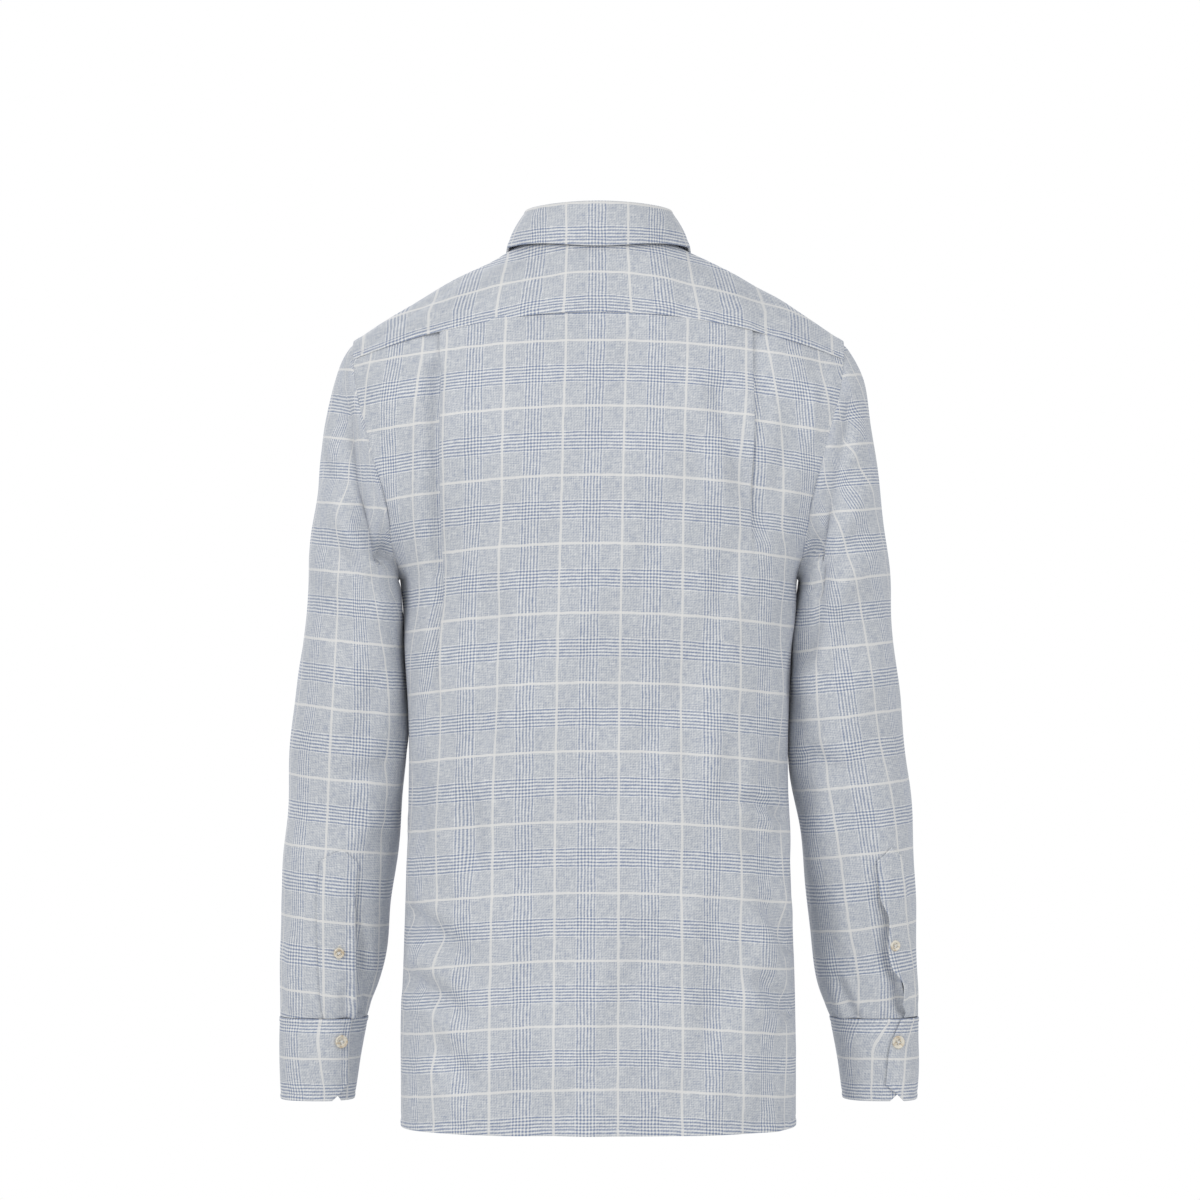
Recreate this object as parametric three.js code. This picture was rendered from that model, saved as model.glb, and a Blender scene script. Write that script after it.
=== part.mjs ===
// A man's long-sleeved flannel shirt, filled out as if worn, with nobody in it.
// It is sewn from a back with two side pleats, a yoke, two fronts, a front placket,
// a collar stand and a turned-down collar, two sleeves with slit plackets, two cuffs and its buttons.
//
// Millimetres. +Z is up, the wearer faces -Y and the wearer's left is +X.
// The origin is in the neck opening, level with the points where the collar meets the shoulders.

import * as THREE from "three";

// Cloth and seams
const CLOTH = 1.2; // wall of one layer of brushed flannel
const DOUBLE_CLOTH = 2; // collar, stand and cuffs: two layers with interlining
const SEAM = 0.2; // each piece stops this far short of a flat seam line
const YOKE_SEAM = 0.4; // this far short at the yoke, where the cloth turns a corner
const CORNER_SEAM = 1; // this far short at the armhole, where it turns more
const UNDERARM_ROOM = 1.6; // the sleeve's start stands this far off the body under the arm
const STAND_SEAM = { back: 1, front: 2.6 }; // the collar stand starts this far above the neck seam
const LAYER = 2; // from one cloth's middle to the next one lying on it

// Body of the shirt
const HEM_Z = -757;
const SIDE_SEAM_Y = 2;
const BACK_YOKE_Z = -53; // the yoke seam at the middle of the back
const YOKE_SEAM_DROP_POWER = 2; // how late the yoke seam drops towards the armhole
const NECK_FRONT_Z = -52;

// The body at a few heights: half its width, its depth behind and in front of the side seams,
// and how square its corners are (2 is an ellipse).
const BODY = [
  { z: HEM_Z, halfWidth: 171, back: 114, front: 112, square: 2.5 },
  { z: -700, halfWidth: 171, back: 115, front: 112, square: 2.5 },
  { z: -600, halfWidth: 168.5, back: 112, front: 110, square: 2.45 },
  { z: -500, halfWidth: 165, back: 108, front: 109, square: 2.4 },
  { z: -440, halfWidth: 164, back: 107, front: 110, square: 2.4 },
  { z: -380, halfWidth: 165.5, back: 109, front: 113, square: 2.4 },
  { z: -320, halfWidth: 168.5, back: 113, front: 117, square: 2.4 },
  { z: -283, halfWidth: 172, back: 116, front: 119, square: 2.4 },
  { z: -220, halfWidth: 182, back: 118, front: 120, square: 2.4 },
  { z: -160, halfWidth: 195, back: 115, front: 113, square: 2.3 },
  { z: -110, halfWidth: 207, back: 108, front: 92, square: 2.15 },
  { z: -53, halfWidth: 212, back: 96, front: 52, square: 2 },
  { z: -30, halfWidth: 212, back: 90, front: 40, square: 2 },
];

// The armhole seam is an upright oval that leans in towards the underarm.
const ARMHOLE = { middleZ: -179.5, halfHeight: 103.5, middleY: SIDE_SEAM_Y, halfDepth: 66 };
const UNDERARM_Z = ARMHOLE.middleZ - ARMHOLE.halfHeight;
const ARMHOLE_LEAN = [
  { z: UNDERARM_Z, x: 172 },
  { z: -262, x: 175.5 },
  { z: -214, x: 184 },
  { z: -180, x: 192 },
  { z: -136, x: 203 },
  { z: -105, x: 208.5 },
  { z: -76, x: 211 },
];
const YOKE_BACK_CORNER = 32; // where the yoke seams meet the armhole, in degrees round it from its top
const YOKE_FRONT_CORNER = -32;

// The neck seam, an oval that drops towards the front.
const NECK = { halfWidth: 63, middleY: 11, halfDepth: 59, backZ: 12, sideZ: 8, frontPower: 1.7 };
// Where the lines from the yoke's corners meet the neck, in degrees, 90 at the back.
const YOKE_BACK_NECK = 20;
const YOKE_FRONT_NECK = -30;
const YOKE_BULGE = 4;
const NECKLINE_SHARE = 0.38; // the share of a front's top edge that is neckline
const NECKLINE_REACH_Z = -215; // the neckline shapes the front down to here

// Back pleats: a knife pleat each side, its fold turned to the armhole
const PLEAT = { radius: 0.85, dipLength: 24, turnSteps: 2, spread: 1.5 };
// How much cloth each pleat folds under at a height, and how far its fold is turned over, in degrees.
const PLEATS = {
  left: {
    x: 138.5,
    rows: [
      { z: -480, under: 0, turn: 0 },
      { z: -400, under: 0, turn: 70 },
      { z: -365, under: 1.5, turn: 180 },
      { z: -330, under: 6, turn: 180 },
      { z: -290, under: 9.5, turn: 180 },
      { z: -220, under: 11.7, turn: 180 },
      { z: -145, under: 12.8, turn: 180 },
      { z: -53, under: 16, turn: 180 },
    ],
  },
  right: {
    x: 136.5,
    rows: [
      { z: -320, under: 0, turn: 0 },
      { z: -240, under: 0, turn: 60 },
      { z: -205, under: 1.5, turn: 180 },
      { z: -157, under: 4.5, turn: 180 },
      { z: -113, under: 10, turn: 180 },
      { z: -53, under: 17, turn: 180 },
    ],
  },
};

// Front closing
const PLACKET_WIDTH = 32;
const PLACKET_RAMP = 14; // the left front rises onto the right one over this width
const FRONT_BUTTONS = 6;
const FRONT_BUTTON_TOP_Z = -118;
const FRONT_BUTTON_STEP = 96;

// Collar
// Round the neck in degrees from the middle of the back, 180 in front.
const STAND = { height: 23.5, frontHeight: 25, lean: 5, frontLean: 8, overlap: 11, step: 1.3 };
const COLLAR = { rollRadius: 2.8, bow: 2, frontEnd: 173, lift: 3.6, aboveStand: 0.6 };
// How far from the neck seam the edge of the collar lies on the yoke.
const COLLAR_EDGE = [
  { round: 0, reach: 14.5 },
  { round: 60, reach: 13.5 },
  { round: 90, reach: 15.5 },
  { round: 120, reach: 22 },
];
const COLLAR_POINT = { rowZ: -118, share: 0.24 }; // where the collar's points lie on the fronts

// Sleeves
// Each ring of a sleeve: its outer and inner edge, its middle, and its depth before and behind that.
const SLEEVE = [
  { name: "armhole", outerX: 211, outerZ: -76, innerX: 172, innerZ: -283, middleY: 2, depth: 66 },
  { name: "head", outerX: 222, outerZ: -94, innerX: 174.6, innerZ: -287, middleY: 2, depth: 68 },
  { name: "cap", outerX: 231, outerZ: -120, innerX: 174, innerZ: -295, middleY: 1, depth: 70 },
  { name: "cap_low", outerX: 237.5, outerZ: -156, innerX: 172.4, innerZ: -307, middleY: -2, depth: 72 },
  { name: "upper", outerX: 244, outerZ: -206, innerX: 170.4, innerZ: -324, middleY: -6, depth: 72 },
  { name: "biceps", outerX: 250, outerZ: -258, innerX: 168.6, innerZ: -346, middleY: -12, depth: 71 },
  { name: "lower_biceps", outerX: 256.5, outerZ: -322, innerX: 165.6, innerZ: -380, middleY: -20, depth: 69 },
  { name: "elbow", outerX: 264, outerZ: -395, innerX: 166.2, innerZ: -425, middleY: -27, depth: 66 },
  { name: "below_elbow", outerX: 270.5, outerZ: -470, innerX: 172, innerZ: -482, middleY: -32, depth: 62 },
  { name: "forearm", outerX: 275.5, outerZ: -530, innerX: 179.5, innerZ: -535, middleY: -35, depth: 58 },
  { name: "low_forearm", outerX: 278.4, outerZ: -587, innerX: 186.5, innerZ: -589, middleY: -37, depth: 53 },
  { name: "wrist", outerX: 278.8, outerZ: -632, innerX: 193, innerZ: -633, middleY: -38, depth: 47 },
  { name: "gather", outerX: 278.5, outerZ: -655, innerX: 199.5, innerZ: -655, middleY: -38.5, depth: 42.5 },
  { name: "cuff_seam", outerX: 278.2, outerZ: -665, innerX: 203.5, innerZ: -665, middleY: -38.5, depth: 40 },
];
const SLEEVE_SQUARE = 2.15;
const SLEEVE_STEPS = { aboveSlit: 14, besideSlit: 6 }; // rings down each sleeve
const SLEEVE_AROUND = 20; // points round each ring
const ARMHOLE_FADE = 3; // the sleeve keeps the armhole's lean over this many rings
const SLIT_TOP_Z = -558; // the slit above the cuff
// The placket on the slit: how far it reaches above the slit and its tip, in millimetres,
// and its width in degrees at its top and its foot.
const GAUNTLET = { aboveSlit: 33, tip: 10, topWidth: 32, footWidth: 40, slit: 0.5, aboveCuff: 2.5 };

const CUFF = { topZ: -665.5, bottomZ: -737, bottomOuterX: 278, bottomInnerX: 216, bottomHalfDepth: 38.5 };
const CUFF_MITRE = { height: 14.5, degrees: 27 }; // the cut corners of the cuff
const CUFF_BUTTON_ROUND = 14; // from the cuff's upper end to its button, in degrees
const CUFF_OVERLAP = { degrees: 34, ramp: 40, step: 2.6 };

// In degrees round the wrist from its outer side by way of the back: the free edge of the placket
// at its top and foot, and the cuff's upper end at its seam and at its lower edge. Then how many
// degrees the slit stands open, and the buttons' heights.
const WRISTS = {
  left: {
    slitTop: 109,
    slitFoot: 132,
    edgeTop: 132,
    edgeBottom: 147,
    gape: 1,
    gauntletButtonZ: -609,
    cuffButtonZ: -685,
  },
  right: {
    slitTop: 76,
    slitFoot: 57,
    edgeTop: 62,
    edgeBottom: 80,
    gape: 4,
    gauntletButtonZ: -600,
    cuffButtonZ: -685.5,
  },
};

// Buttons
const BUTTON = { front: 11, cuff: 11.5, gauntlet: 9.5, thickness: 2.4, hole: 0.9, holeSpread: 1.7, gap: 0.4 };

// The largest folds
// Each is a soft ridge (height above 0) or trough between two points seen from behind or in front.
const BODY_FOLDS = [
  { face: "back", x0: 145, z0: -95, x1: 143, z1: -340, width: 11, height: -3 },
  { face: "back", x0: 103, z0: -290, x1: 101, z1: -450, width: 20, height: -5 },
  { face: "back", x0: 110, z0: -455, x1: 114, z1: -560, width: 18, height: -5 },
  { face: "back", x0: 132, z0: -445, x1: 158, z1: -495, width: 12, height: -4 },
  { face: "back", x0: 172, z0: -588, x1: 120, z1: -600, width: 16, height: -7 },
  { face: "back", x0: 172, z0: -640, x1: 135, z1: -652, width: 15, height: -5 },
  { face: "back", x0: -172, z0: -576, x1: -146, z1: -592, width: 14, height: -6 },
  { face: "back", x0: -172, z0: -628, x1: -138, z1: -636, width: 13, height: -4 },
  { face: "back", x0: -96, z0: -108, x1: -124, z1: -196, width: 12, height: -3 },
  { face: "back", x0: -133, z0: -205, x1: -136, z1: -260, width: 16, height: -4 },
  { face: "front", x0: 150, z0: -215, x1: 96, z1: -330, width: 18, height: -5 },
  { face: "front", x0: -150, z0: -210, x1: -90, z1: -318, width: 18, height: -5 },
  { face: "front", x0: 168, z0: -470, x1: 100, z1: -505, width: 18, height: -5 },
  { face: "front", x0: -168, z0: -455, x1: -105, z1: -500, width: 18, height: -5 },
  { face: "front", x0: 95, z0: -560, x1: 104, z1: -760, width: 22, height: 5 },
  { face: "front", x0: -88, z0: -540, x1: -98, z1: -760, width: 22, height: 5 },
];
const SLEEVE_FOLDS = {
  left: [
    { face: "back", x0: 222, z0: -128, x1: 188, z1: -212, width: 11, height: -7 },
    { face: "back", x0: 214, z0: -150, x1: 184, z1: -245, width: 10, height: 5 },
    { face: "back", x0: 238, z0: -176, x1: 180, z1: -268, width: 12, height: -6 },
    { face: "back", x0: 240, z0: -232, x1: 186, z1: -300, width: 16, height: 4 },
    { face: "back", x0: 196, z0: -600, x1: 201, z1: -660, width: 7, height: -4 },
    { face: "front", x0: 230, z0: -150, x1: 186, z1: -250, width: 13, height: -6 },
    { face: "front", x0: 236, z0: -400, x1: 186, z1: -440, width: 16, height: -5 },
    { face: "front", x0: 250, z0: -600, x1: 246, z1: -660, width: 10, height: -4 },
  ],
  right: [
    { face: "back", x0: 214, z0: -135, x1: 186, z1: -205, width: 11, height: -6 },
    { face: "back", x0: 226, z0: -160, x1: 184, z1: -262, width: 12, height: 5 },
    { face: "back", x0: 222, z0: -215, x1: 180, z1: -290, width: 13, height: -6 },
    { face: "back", x0: 200, z0: -600, x1: 218, z1: -660, width: 8, height: -4 },
    { face: "front", x0: 232, z0: -155, x1: 188, z1: -255, width: 13, height: -6 },
    { face: "front", x0: 240, z0: -410, x1: 190, z1: -446, width: 16, height: -5 },
    { face: "front", x0: 246, z0: -600, x1: 240, z1: -660, width: 10, height: -4 },
  ],
};

// Finish
const flannel = () => new THREE.MeshStandardMaterial({ color: 0xbdc4cc, roughness: 0.95, metalness: 0 });
const shell = () => new THREE.MeshStandardMaterial({ color: 0xd9cfb8, roughness: 0.35, metalness: 0 });

// Small helpers
const radians = (degrees) => (degrees * Math.PI) / 180;
const mix = (a, b, share) => a + (b - a) * share;
const clamp01 = (value) => Math.min(Math.max(value, 0), 1);
const ease = (value) => clamp01(value) ** 2 * (3 - 2 * clamp01(value));
const point = (x, y, z) => new THREE.Vector3(x, y, z);
const mirrored = (p) => point(-p.x, p.y, p.z);
const signedPower = (value, power) => Math.sign(value) * Math.abs(value) ** power;

// Reads a column of a table at a height, or at any other key, on a smooth curve through its rows.
function read(rows, key, value, column) {
  const ascending = rows[0][key] < rows[rows.length - 1][key];
  const sorted = ascending ? rows : [...rows].reverse();
  const last = sorted.length - 1;
  if (value <= sorted[0][key]) return sorted[0][column];
  if (value >= sorted[last][key]) return sorted[last][column];
  const i = sorted.findIndex((row, k) => k < last && value < sorted[k + 1][key]);
  const slope = (k) => {
    if (k === 0 || k === last) return 0;
    const before = sorted[k][column] - sorted[k - 1][column];
    const after = sorted[k + 1][column] - sorted[k][column];
    if (before * after <= 0) return 0;
    return (before + after) / (sorted[k + 1][key] - sorted[k - 1][key]);
  };
  const span = sorted[i + 1][key] - sorted[i][key];
  const t = (value - sorted[i][key]) / span;
  const [a, b] = [sorted[i][column], sorted[i + 1][column]];
  return (
    a * (2 * t ** 3 - 3 * t ** 2 + 1) +
    slope(i) * span * (t ** 3 - 2 * t ** 2 + t) +
    b * (3 * t ** 2 - 2 * t ** 3) +
    slope(i + 1) * span * (t ** 3 - t ** 2)
  );
}

// The height of the folds at a point, as far as the cloth there faces the side the fold is on.
function foldHeight(folds, at, outwardY) {
  let height = 0;
  for (const fold of folds) {
    const facing = ease((fold.face === "back" ? outwardY : -outwardY) / 0.4);
    const [runX, runZ] = [fold.x1 - fold.x0, fold.z1 - fold.z0];
    const along = ((at.x - fold.x0) * runX + (at.z - fold.z0) * runZ) / (runX ** 2 + runZ ** 2);
    const held = clamp01(along);
    const away = Math.hypot(at.x - fold.x0 - runX * held, at.z - fold.z0 - runZ * held);
    height += facing * fold.height * Math.exp(-((away / fold.width) ** 2));
  }
  return height;
}

// A wall of cloth from a net of points
// faces holds quads of point numbers, all the same way round; every free edge is closed.
function wall(points, faces, thickness) {
  const normals = points.map(() => point(0, 0, 0));
  for (const [a, b, c, d] of faces) {
    const normal = points[c].clone().sub(points[a]).cross(points[d].clone().sub(points[b]));
    for (const k of [a, b, c, d]) normals[k].add(normal);
  }
  normals.forEach((normal) => normal.normalize().multiplyScalar(thickness / 2));
  const corners = [
    ...points.map((p, k) => p.clone().add(normals[k])),
    ...points.map((p, k) => p.clone().sub(normals[k])),
  ];
  const under = points.length;
  const triangles = [];
  const quad = (a, b, c, d) => triangles.push(a, b, c, a, c, d);
  const edges = new Map();
  for (const face of faces) {
    const [a, b, c, d] = face;
    quad(a, b, c, d);
    quad(under + d, under + c, under + b, under + a);
    face.forEach((from, k) => {
      const to = face[(k + 1) % 4];
      if (!edges.delete(`${to} ${from}`)) edges.set(`${from} ${to}`, [from, to]);
    });
  }
  for (const [from, to] of edges.values()) quad(to, from, under + from, under + to);
  const geometry = new THREE.BufferGeometry();
  geometry.setAttribute("position", new THREE.Float32BufferAttribute(corners.flatMap((p) => p.toArray()), 3));
  geometry.setIndex(triangles);
  return geometry;
}

// A net of rows and columns of points, with each edge pulled in by the seam gap.
// pull holds how far the first column, last column, first row and last row are moved in.
function panel(grid, thickness, pull, outwards) {
  const rows = grid.length;
  const columns = grid[0].length;
  const moved = grid.map((row) => row.map((p) => p.clone()));
  const pullIn = (r, c, towardsRow, towardsColumn, distance) => {
    const way = grid[towardsRow][towardsColumn].clone().sub(grid[r][c]).setLength(distance);
    moved[r][c].add(way);
  };
  for (let r = 0; r < rows; r++) {
    pullIn(r, 0, r, 1, pull.firstColumn);
    pullIn(r, columns - 1, r, columns - 2, pull.lastColumn);
  }
  for (let c = 0; c < columns; c++) {
    pullIn(0, c, 1, c, pull.firstRow);
    pullIn(rows - 1, c, rows - 2, c, pull.lastRow);
  }
  const faces = [];
  for (let r = 0; r < rows - 1; r++) {
    for (let c = 0; c < columns - 1; c++) {
      const [a, b] = [r * columns + c, r * columns + c + 1];
      const face = [a, b, b + columns, a + columns];
      faces.push(outwards ? face : face.reverse());
    }
  }
  return wall(moved.flat(), faces, thickness);
}

const steps = (count) => Array.from({ length: count + 1 }, (_, k) => k / count);

// The seam lines
// Round the armhole of the left side: 0 is its top, 90 behind, 180 under the arm, -90 in front.
function armhole(degrees) {
  const z = ARMHOLE.middleZ + ARMHOLE.halfHeight * Math.cos(radians(degrees));
  const y = ARMHOLE.middleY + ARMHOLE.halfDepth * Math.sin(radians(degrees));
  return point(read(ARMHOLE_LEAN, "z", z, "x"), y, z);
}

// Round the neck of the left side: 90 is behind, 0 at the side, -90 in front.
function neck(degrees) {
  const s = Math.sin(radians(degrees));
  const [fall, share] = s > 0 ? [NECK.backZ, s ** 2] : [NECK_FRONT_Z, (-s) ** NECK.frontPower];
  const z = mix(NECK.sideZ, fall, share);
  return point(NECK.halfWidth * Math.cos(radians(degrees)), NECK.middleY + NECK.halfDepth * s, z);
}

// The outer end of a body row: the side seam up to the underarm, and the armhole above it.
function rowEnd(z, topZ, topDegrees) {
  if (z <= UNDERARM_Z) return point(read(BODY, "z", z, "halfWidth"), SIDE_SEAM_Y, z);
  const share = (z - UNDERARM_Z) / (topZ - UNDERARM_Z);
  return armhole(mix(Math.sign(topDegrees) * 180, topDegrees, share));
}

// A row of the body from the middle (share 0) to its outer end (share 1), one quarter of a squared oval.
function bodyRow(z, share, side) {
  const back = side === "back";
  const end = back ? rowEnd(z, BACK_YOKE_Z, YOKE_BACK_CORNER) : rowEnd(z, NECK_FRONT_Z, YOKE_FRONT_CORNER);
  const depth = read(BODY, "z", z, side);
  const power = read(BODY, "z", z, "square");
  const endDepth = Math.abs(end.y - SIDE_SEAM_Y) / depth;
  const halfWidth = end.x / (1 - endDepth ** power) ** (1 / power);
  const turn = Math.acos(endDepth ** (power / 2)) * share;
  const x = halfWidth * Math.sin(turn) ** (2 / power);
  const y = depth * Math.cos(turn) ** (2 / power);
  const drop = (end.z - z) * (x / end.x) ** YOKE_SEAM_DROP_POWER;
  return point(x, SIDE_SEAM_Y + (back ? y : -y), z + drop);
}

// The top edge of a front: the neckline, then the front yoke seam.
function frontTop(share) {
  if (share < NECKLINE_SHARE) return neck(mix(-90, YOKE_FRONT_NECK, share / NECKLINE_SHARE));
  const along = (share - NECKLINE_SHARE) / (1 - NECKLINE_SHARE);
  return yokeLine(YOKE_FRONT_NECK, armhole(YOKE_FRONT_CORNER), along);
}

// A line of the yoke from the neck to its outer edge, a little crowned.
function yokeLine(neckDegrees, outer, share) {
  const line = neck(neckDegrees).lerp(outer, share);
  const crown = YOKE_BULGE * Math.sin(Math.PI * share);
  const outwards = point(0.25, 0.45 * Math.sin(radians(neckDegrees)), 0.86);
  return line.add(outwards.normalize().multiplyScalar(crown));
}

// The body's surfaces, with the folds
const SHARE_STEP = 0.004; // for working out which way a surface faces

// The way out of the back: square to its row, and level.
function backOutwards(z, share) {
  const from = bodyRow(z, Math.max(share - SHARE_STEP, 0), "back");
  const to = bodyRow(z, Math.min(share + SHARE_STEP, 1), "back");
  return point(from.y - to.y, to.x - from.x, 0).normalize();
}

function frontBase(z, share) {
  const row = bodyRow(z, share, "front");
  const reach = clamp01((z - NECKLINE_REACH_Z) / (NECK_FRONT_Z - NECKLINE_REACH_Z)) ** 2;
  if (reach === 0) return row;
  const shift = frontTop(share).sub(bodyRow(NECK_FRONT_Z, share, "front"));
  return row.add(shift.multiplyScalar(reach));
}

function frontOutwards(z, share) {
  const to = frontBase(z, Math.min(share + SHARE_STEP, 1));
  const along = to.sub(frontBase(z, Math.max(share - SHARE_STEP, 0)));
  const up = frontBase(Math.min(z + 2, NECK_FRONT_Z), share).sub(frontBase(Math.max(z - 2, HEM_Z), share));
  return along.cross(up).normalize();
}

// A point of the fronts, whose share runs from -1 at the right side seam to 1 at the left one,
// lifted off the body by a height.
function frontPoint(z, share, lift) {
  const at = frontBase(z, Math.abs(share));
  const outwards = frontOutwards(z, Math.abs(share));
  const placed = share < 0 ? mirrored(at) : at;
  const way = share < 0 ? mirrored(outwards) : outwards;
  const folds = foldHeight(BODY_FOLDS, placed, way.y) * ease((Math.abs(placed.x) - 20) / 40);
  return placed.add(way.multiplyScalar(lift + folds * edgeCalm(z, share)));
}

// Folds die away at the seams, so that neighbouring pieces still meet.
function edgeCalm(z, share) {
  const side = ease((1 - Math.abs(share)) / 0.16);
  const top = ease((BACK_YOKE_Z - z) / 40);
  return side * top;
}

// The lengths along a row, for placing the pleats and even columns.
function rowLengths(z, side) {
  const samples = steps(60).map((share) => ({ share, at: bodyRow(z, share, side) }));
  let length = 0;
  return samples.map((sample, k) => {
    if (k) length += sample.at.distanceTo(samples[k - 1].at);
    return { share: sample.share, x: sample.at.x, length };
  });
}

function lookUp(samples, key, value, column) {
  const k = Math.max(1, samples.findIndex((sample) => sample[key] >= value));
  const [a, b] = [samples[k - 1], samples[k]];
  return mix(a[column], b[column], clamp01((value - a[key]) / (b[key] - a[key])));
}

// One half of a back row, from the middle to the outer end, through its pleat.
const CENTRE_STEPS = 5;
const OUTER_STEPS = 6;

function backHalfRow(z, pleat, sign) {
  const lengths = rowLengths(z, "back");
  const whole = lengths[lengths.length - 1].length;
  const fold = lookUp(lengths, "x", pleat.x, "length");
  const under = read(pleat.rows, "z", z, "under");
  const turn = radians(read(pleat.rows, "z", z, "turn"));
  const { radius, dipLength, turnSteps, spread } = PLEAT;
  const drop = 2 * radius * (1 - Math.cos(turn));
  const open = spread * (1 - turn / Math.PI); // where the pleat has run out, its points lie apart
  const path = steps(CENTRE_STEPS).map((t) => ({ length: (fold - open * turnSteps) * t, height: 0 }));
  for (let k = 1; k <= turnSteps; k++) {
    const a = (turn * k) / turnSteps;
    const length = fold + radius * Math.sin(a) + open * (k - turnSteps);
    path.push({ length, height: -radius * (1 - Math.cos(a)) });
  }
  const first = path[path.length - 1];
  for (let k = 0; k <= turnSteps; k++) {
    const a = turn * (1 - k / turnSteps);
    path.push({
      length: fold + radius * Math.sin(a) - under + open * (k + 1),
      height: first.height - radius * (Math.cos(a) - Math.cos(turn)),
    });
  }
  const second = path[path.length - 1];
  for (const t of steps(OUTER_STEPS).slice(1)) {
    const length = mix(second.length, whole, t);
    const rising = ease((length - fold) / dipLength);
    path.push({ length, height: -drop * (1 - rising) });
  }
  return path.map(({ length, height }) => {
    const share = lookUp(lengths, "length", length, "share");
    const at = bodyRow(z, share, "back");
    const outwards = backOutwards(z, share);
    const placed = sign < 0 ? mirrored(at) : at;
    const way = sign < 0 ? mirrored(outwards) : outwards;
    const folds = foldHeight(BODY_FOLDS, placed, way.y) * edgeCalm(z, share);
    return placed.add(way.multiplyScalar(height + folds));
  });
}

// The pieces
const shirt = new THREE.Group();

function add(name, geometry, material) {
  const mesh = new THREE.Mesh(geometry, material);
  mesh.name = name;
  shirt.add(mesh);
  return mesh;
}

const heights = (from, to, count) => steps(count).map((t) => mix(from, to, t));

function makeBack() {
  const levels = [...heights(HEM_Z, UNDERARM_Z, 14), ...heights(UNDERARM_Z, BACK_YOKE_Z, 9).slice(1)];
  const grid = levels.map((z) => {
    const left = backHalfRow(z, PLEATS.left, 1);
    const right = backHalfRow(z, PLEATS.right, -1);
    return [...right.slice(1).reverse(), ...left];
  });
  const pull = { firstColumn: SEAM, lastColumn: SEAM, firstRow: 0, lastRow: YOKE_SEAM };
  add("back", panel(grid, CLOTH, pull, false), flannel());
}

const FRONT_LEVELS = [...heights(HEM_Z, UNDERARM_Z, 13), ...heights(UNDERARM_Z, NECK_FRONT_Z, 8).slice(1)];

function makeFront(name, sign) {
  const grid = FRONT_LEVELS.map((z) => {
    const halfPlacket = PLACKET_WIDTH / 2;
    const lengths = rowLengths(z, "front");
    const inner = lookUp(lengths, "x", halfPlacket, "share");
    const ramp = lookUp(lengths, "x", halfPlacket + PLACKET_RAMP, "share");
    const shares = [-inner, 0, inner, ramp, NECKLINE_SHARE];
    const whole = lengths[lengths.length - 1].length;
    const neckline = lookUp(lengths, "share", NECKLINE_SHARE, "length");
    for (const t of steps(7).slice(1)) {
      shares.push(lookUp(lengths, "length", mix(neckline, whole, t), "share"));
    }
    return shares.map((share) => {
      const onTop = sign > 0 ? ease((ramp - share) / (ramp - inner)) : 0;
      return frontPoint(z, sign * share, onTop * LAYER);
    });
  });
  const pull = { firstColumn: 0, lastColumn: SEAM, firstRow: 0, lastRow: YOKE_SEAM };
  add(name, panel(grid, CLOTH, pull, sign > 0), flannel());
}

function makePlacket() {
  const grid = FRONT_LEVELS.map((z) => {
    const inner = lookUp(rowLengths(z, "front"), "x", PLACKET_WIDTH / 2, "share");
    return [-inner, -inner / 2, 0, inner / 2, inner].map((share) => frontPoint(z, share, 2 * LAYER));
  });
  const pull = { firstColumn: 0, lastColumn: 0, firstRow: 0, lastRow: YOKE_SEAM };
  add("front_placket", panel(grid, CLOTH, pull, true), flannel());
}

// The outer end of the yoke's line that starts at this many degrees round the neck.
function yokeOuter(degrees) {
  if (degrees >= YOKE_BACK_NECK) {
    const lengths = rowLengths(BACK_YOKE_Z, "back");
    const whole = lengths[lengths.length - 1].length;
    const t = (90 - degrees) / (90 - YOKE_BACK_NECK);
    return bodyRow(BACK_YOKE_Z, lookUp(lengths, "length", whole * t, "share"), "back");
  }
  const t = (YOKE_BACK_NECK - degrees) / (YOKE_BACK_NECK - YOKE_FRONT_NECK);
  return armhole(mix(YOKE_BACK_CORNER, YOKE_FRONT_CORNER, t));
}

const yokePoint = (degrees, share) => yokeLine(degrees, yokeOuter(degrees), share);

function makeYoke() {
  const backLines = steps(9).map((t) => mix(90, YOKE_BACK_NECK, t));
  const sideLines = steps(5).map((t) => mix(YOKE_BACK_NECK, YOKE_FRONT_NECK, t));
  const lines = [...backLines, ...sideLines.slice(1)];
  const half = lines.map((degrees) => steps(5).map((t) => yokePoint(degrees, t)));
  const grid = [...half.slice(1).reverse().map((line) => line.map(mirrored)), ...half];
  const pull = { firstColumn: SEAM, lastColumn: YOKE_SEAM, firstRow: YOKE_SEAM, lastRow: YOKE_SEAM };
  add("yoke", panel(grid, CLOTH, pull, true), flannel());
}

// Collar
// A point of the collar stand, round the neck from the middle of the back.
function standPoint(round, up, lift) {
  const degrees = 90 - Math.abs(round);
  const foot = neck(degrees);
  const s = Math.sin(radians(degrees));
  const front = ease(-s);
  const outwards = point(Math.cos(radians(degrees)) / NECK.halfWidth, s / NECK.halfDepth, 0).normalize();
  const height = mix(STAND.height, STAND.frontHeight, front);
  const lean = mix(STAND.lean, STAND.frontLean, front);
  const leant = foot.add(outwards.multiplyScalar(lift - lean * up));
  const at = leant.add(point(0, 0, mix(STAND_SEAM.back, STAND_SEAM.front, front) + height * up));
  return round < 0 ? mirrored(at) : at;
}

// How far each end of the stand steps out or in, where the left end lies on the right one.
const standStep = (round) => Math.sign(round) * STAND.step * ease((Math.abs(round) - 145) / 22);

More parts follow.
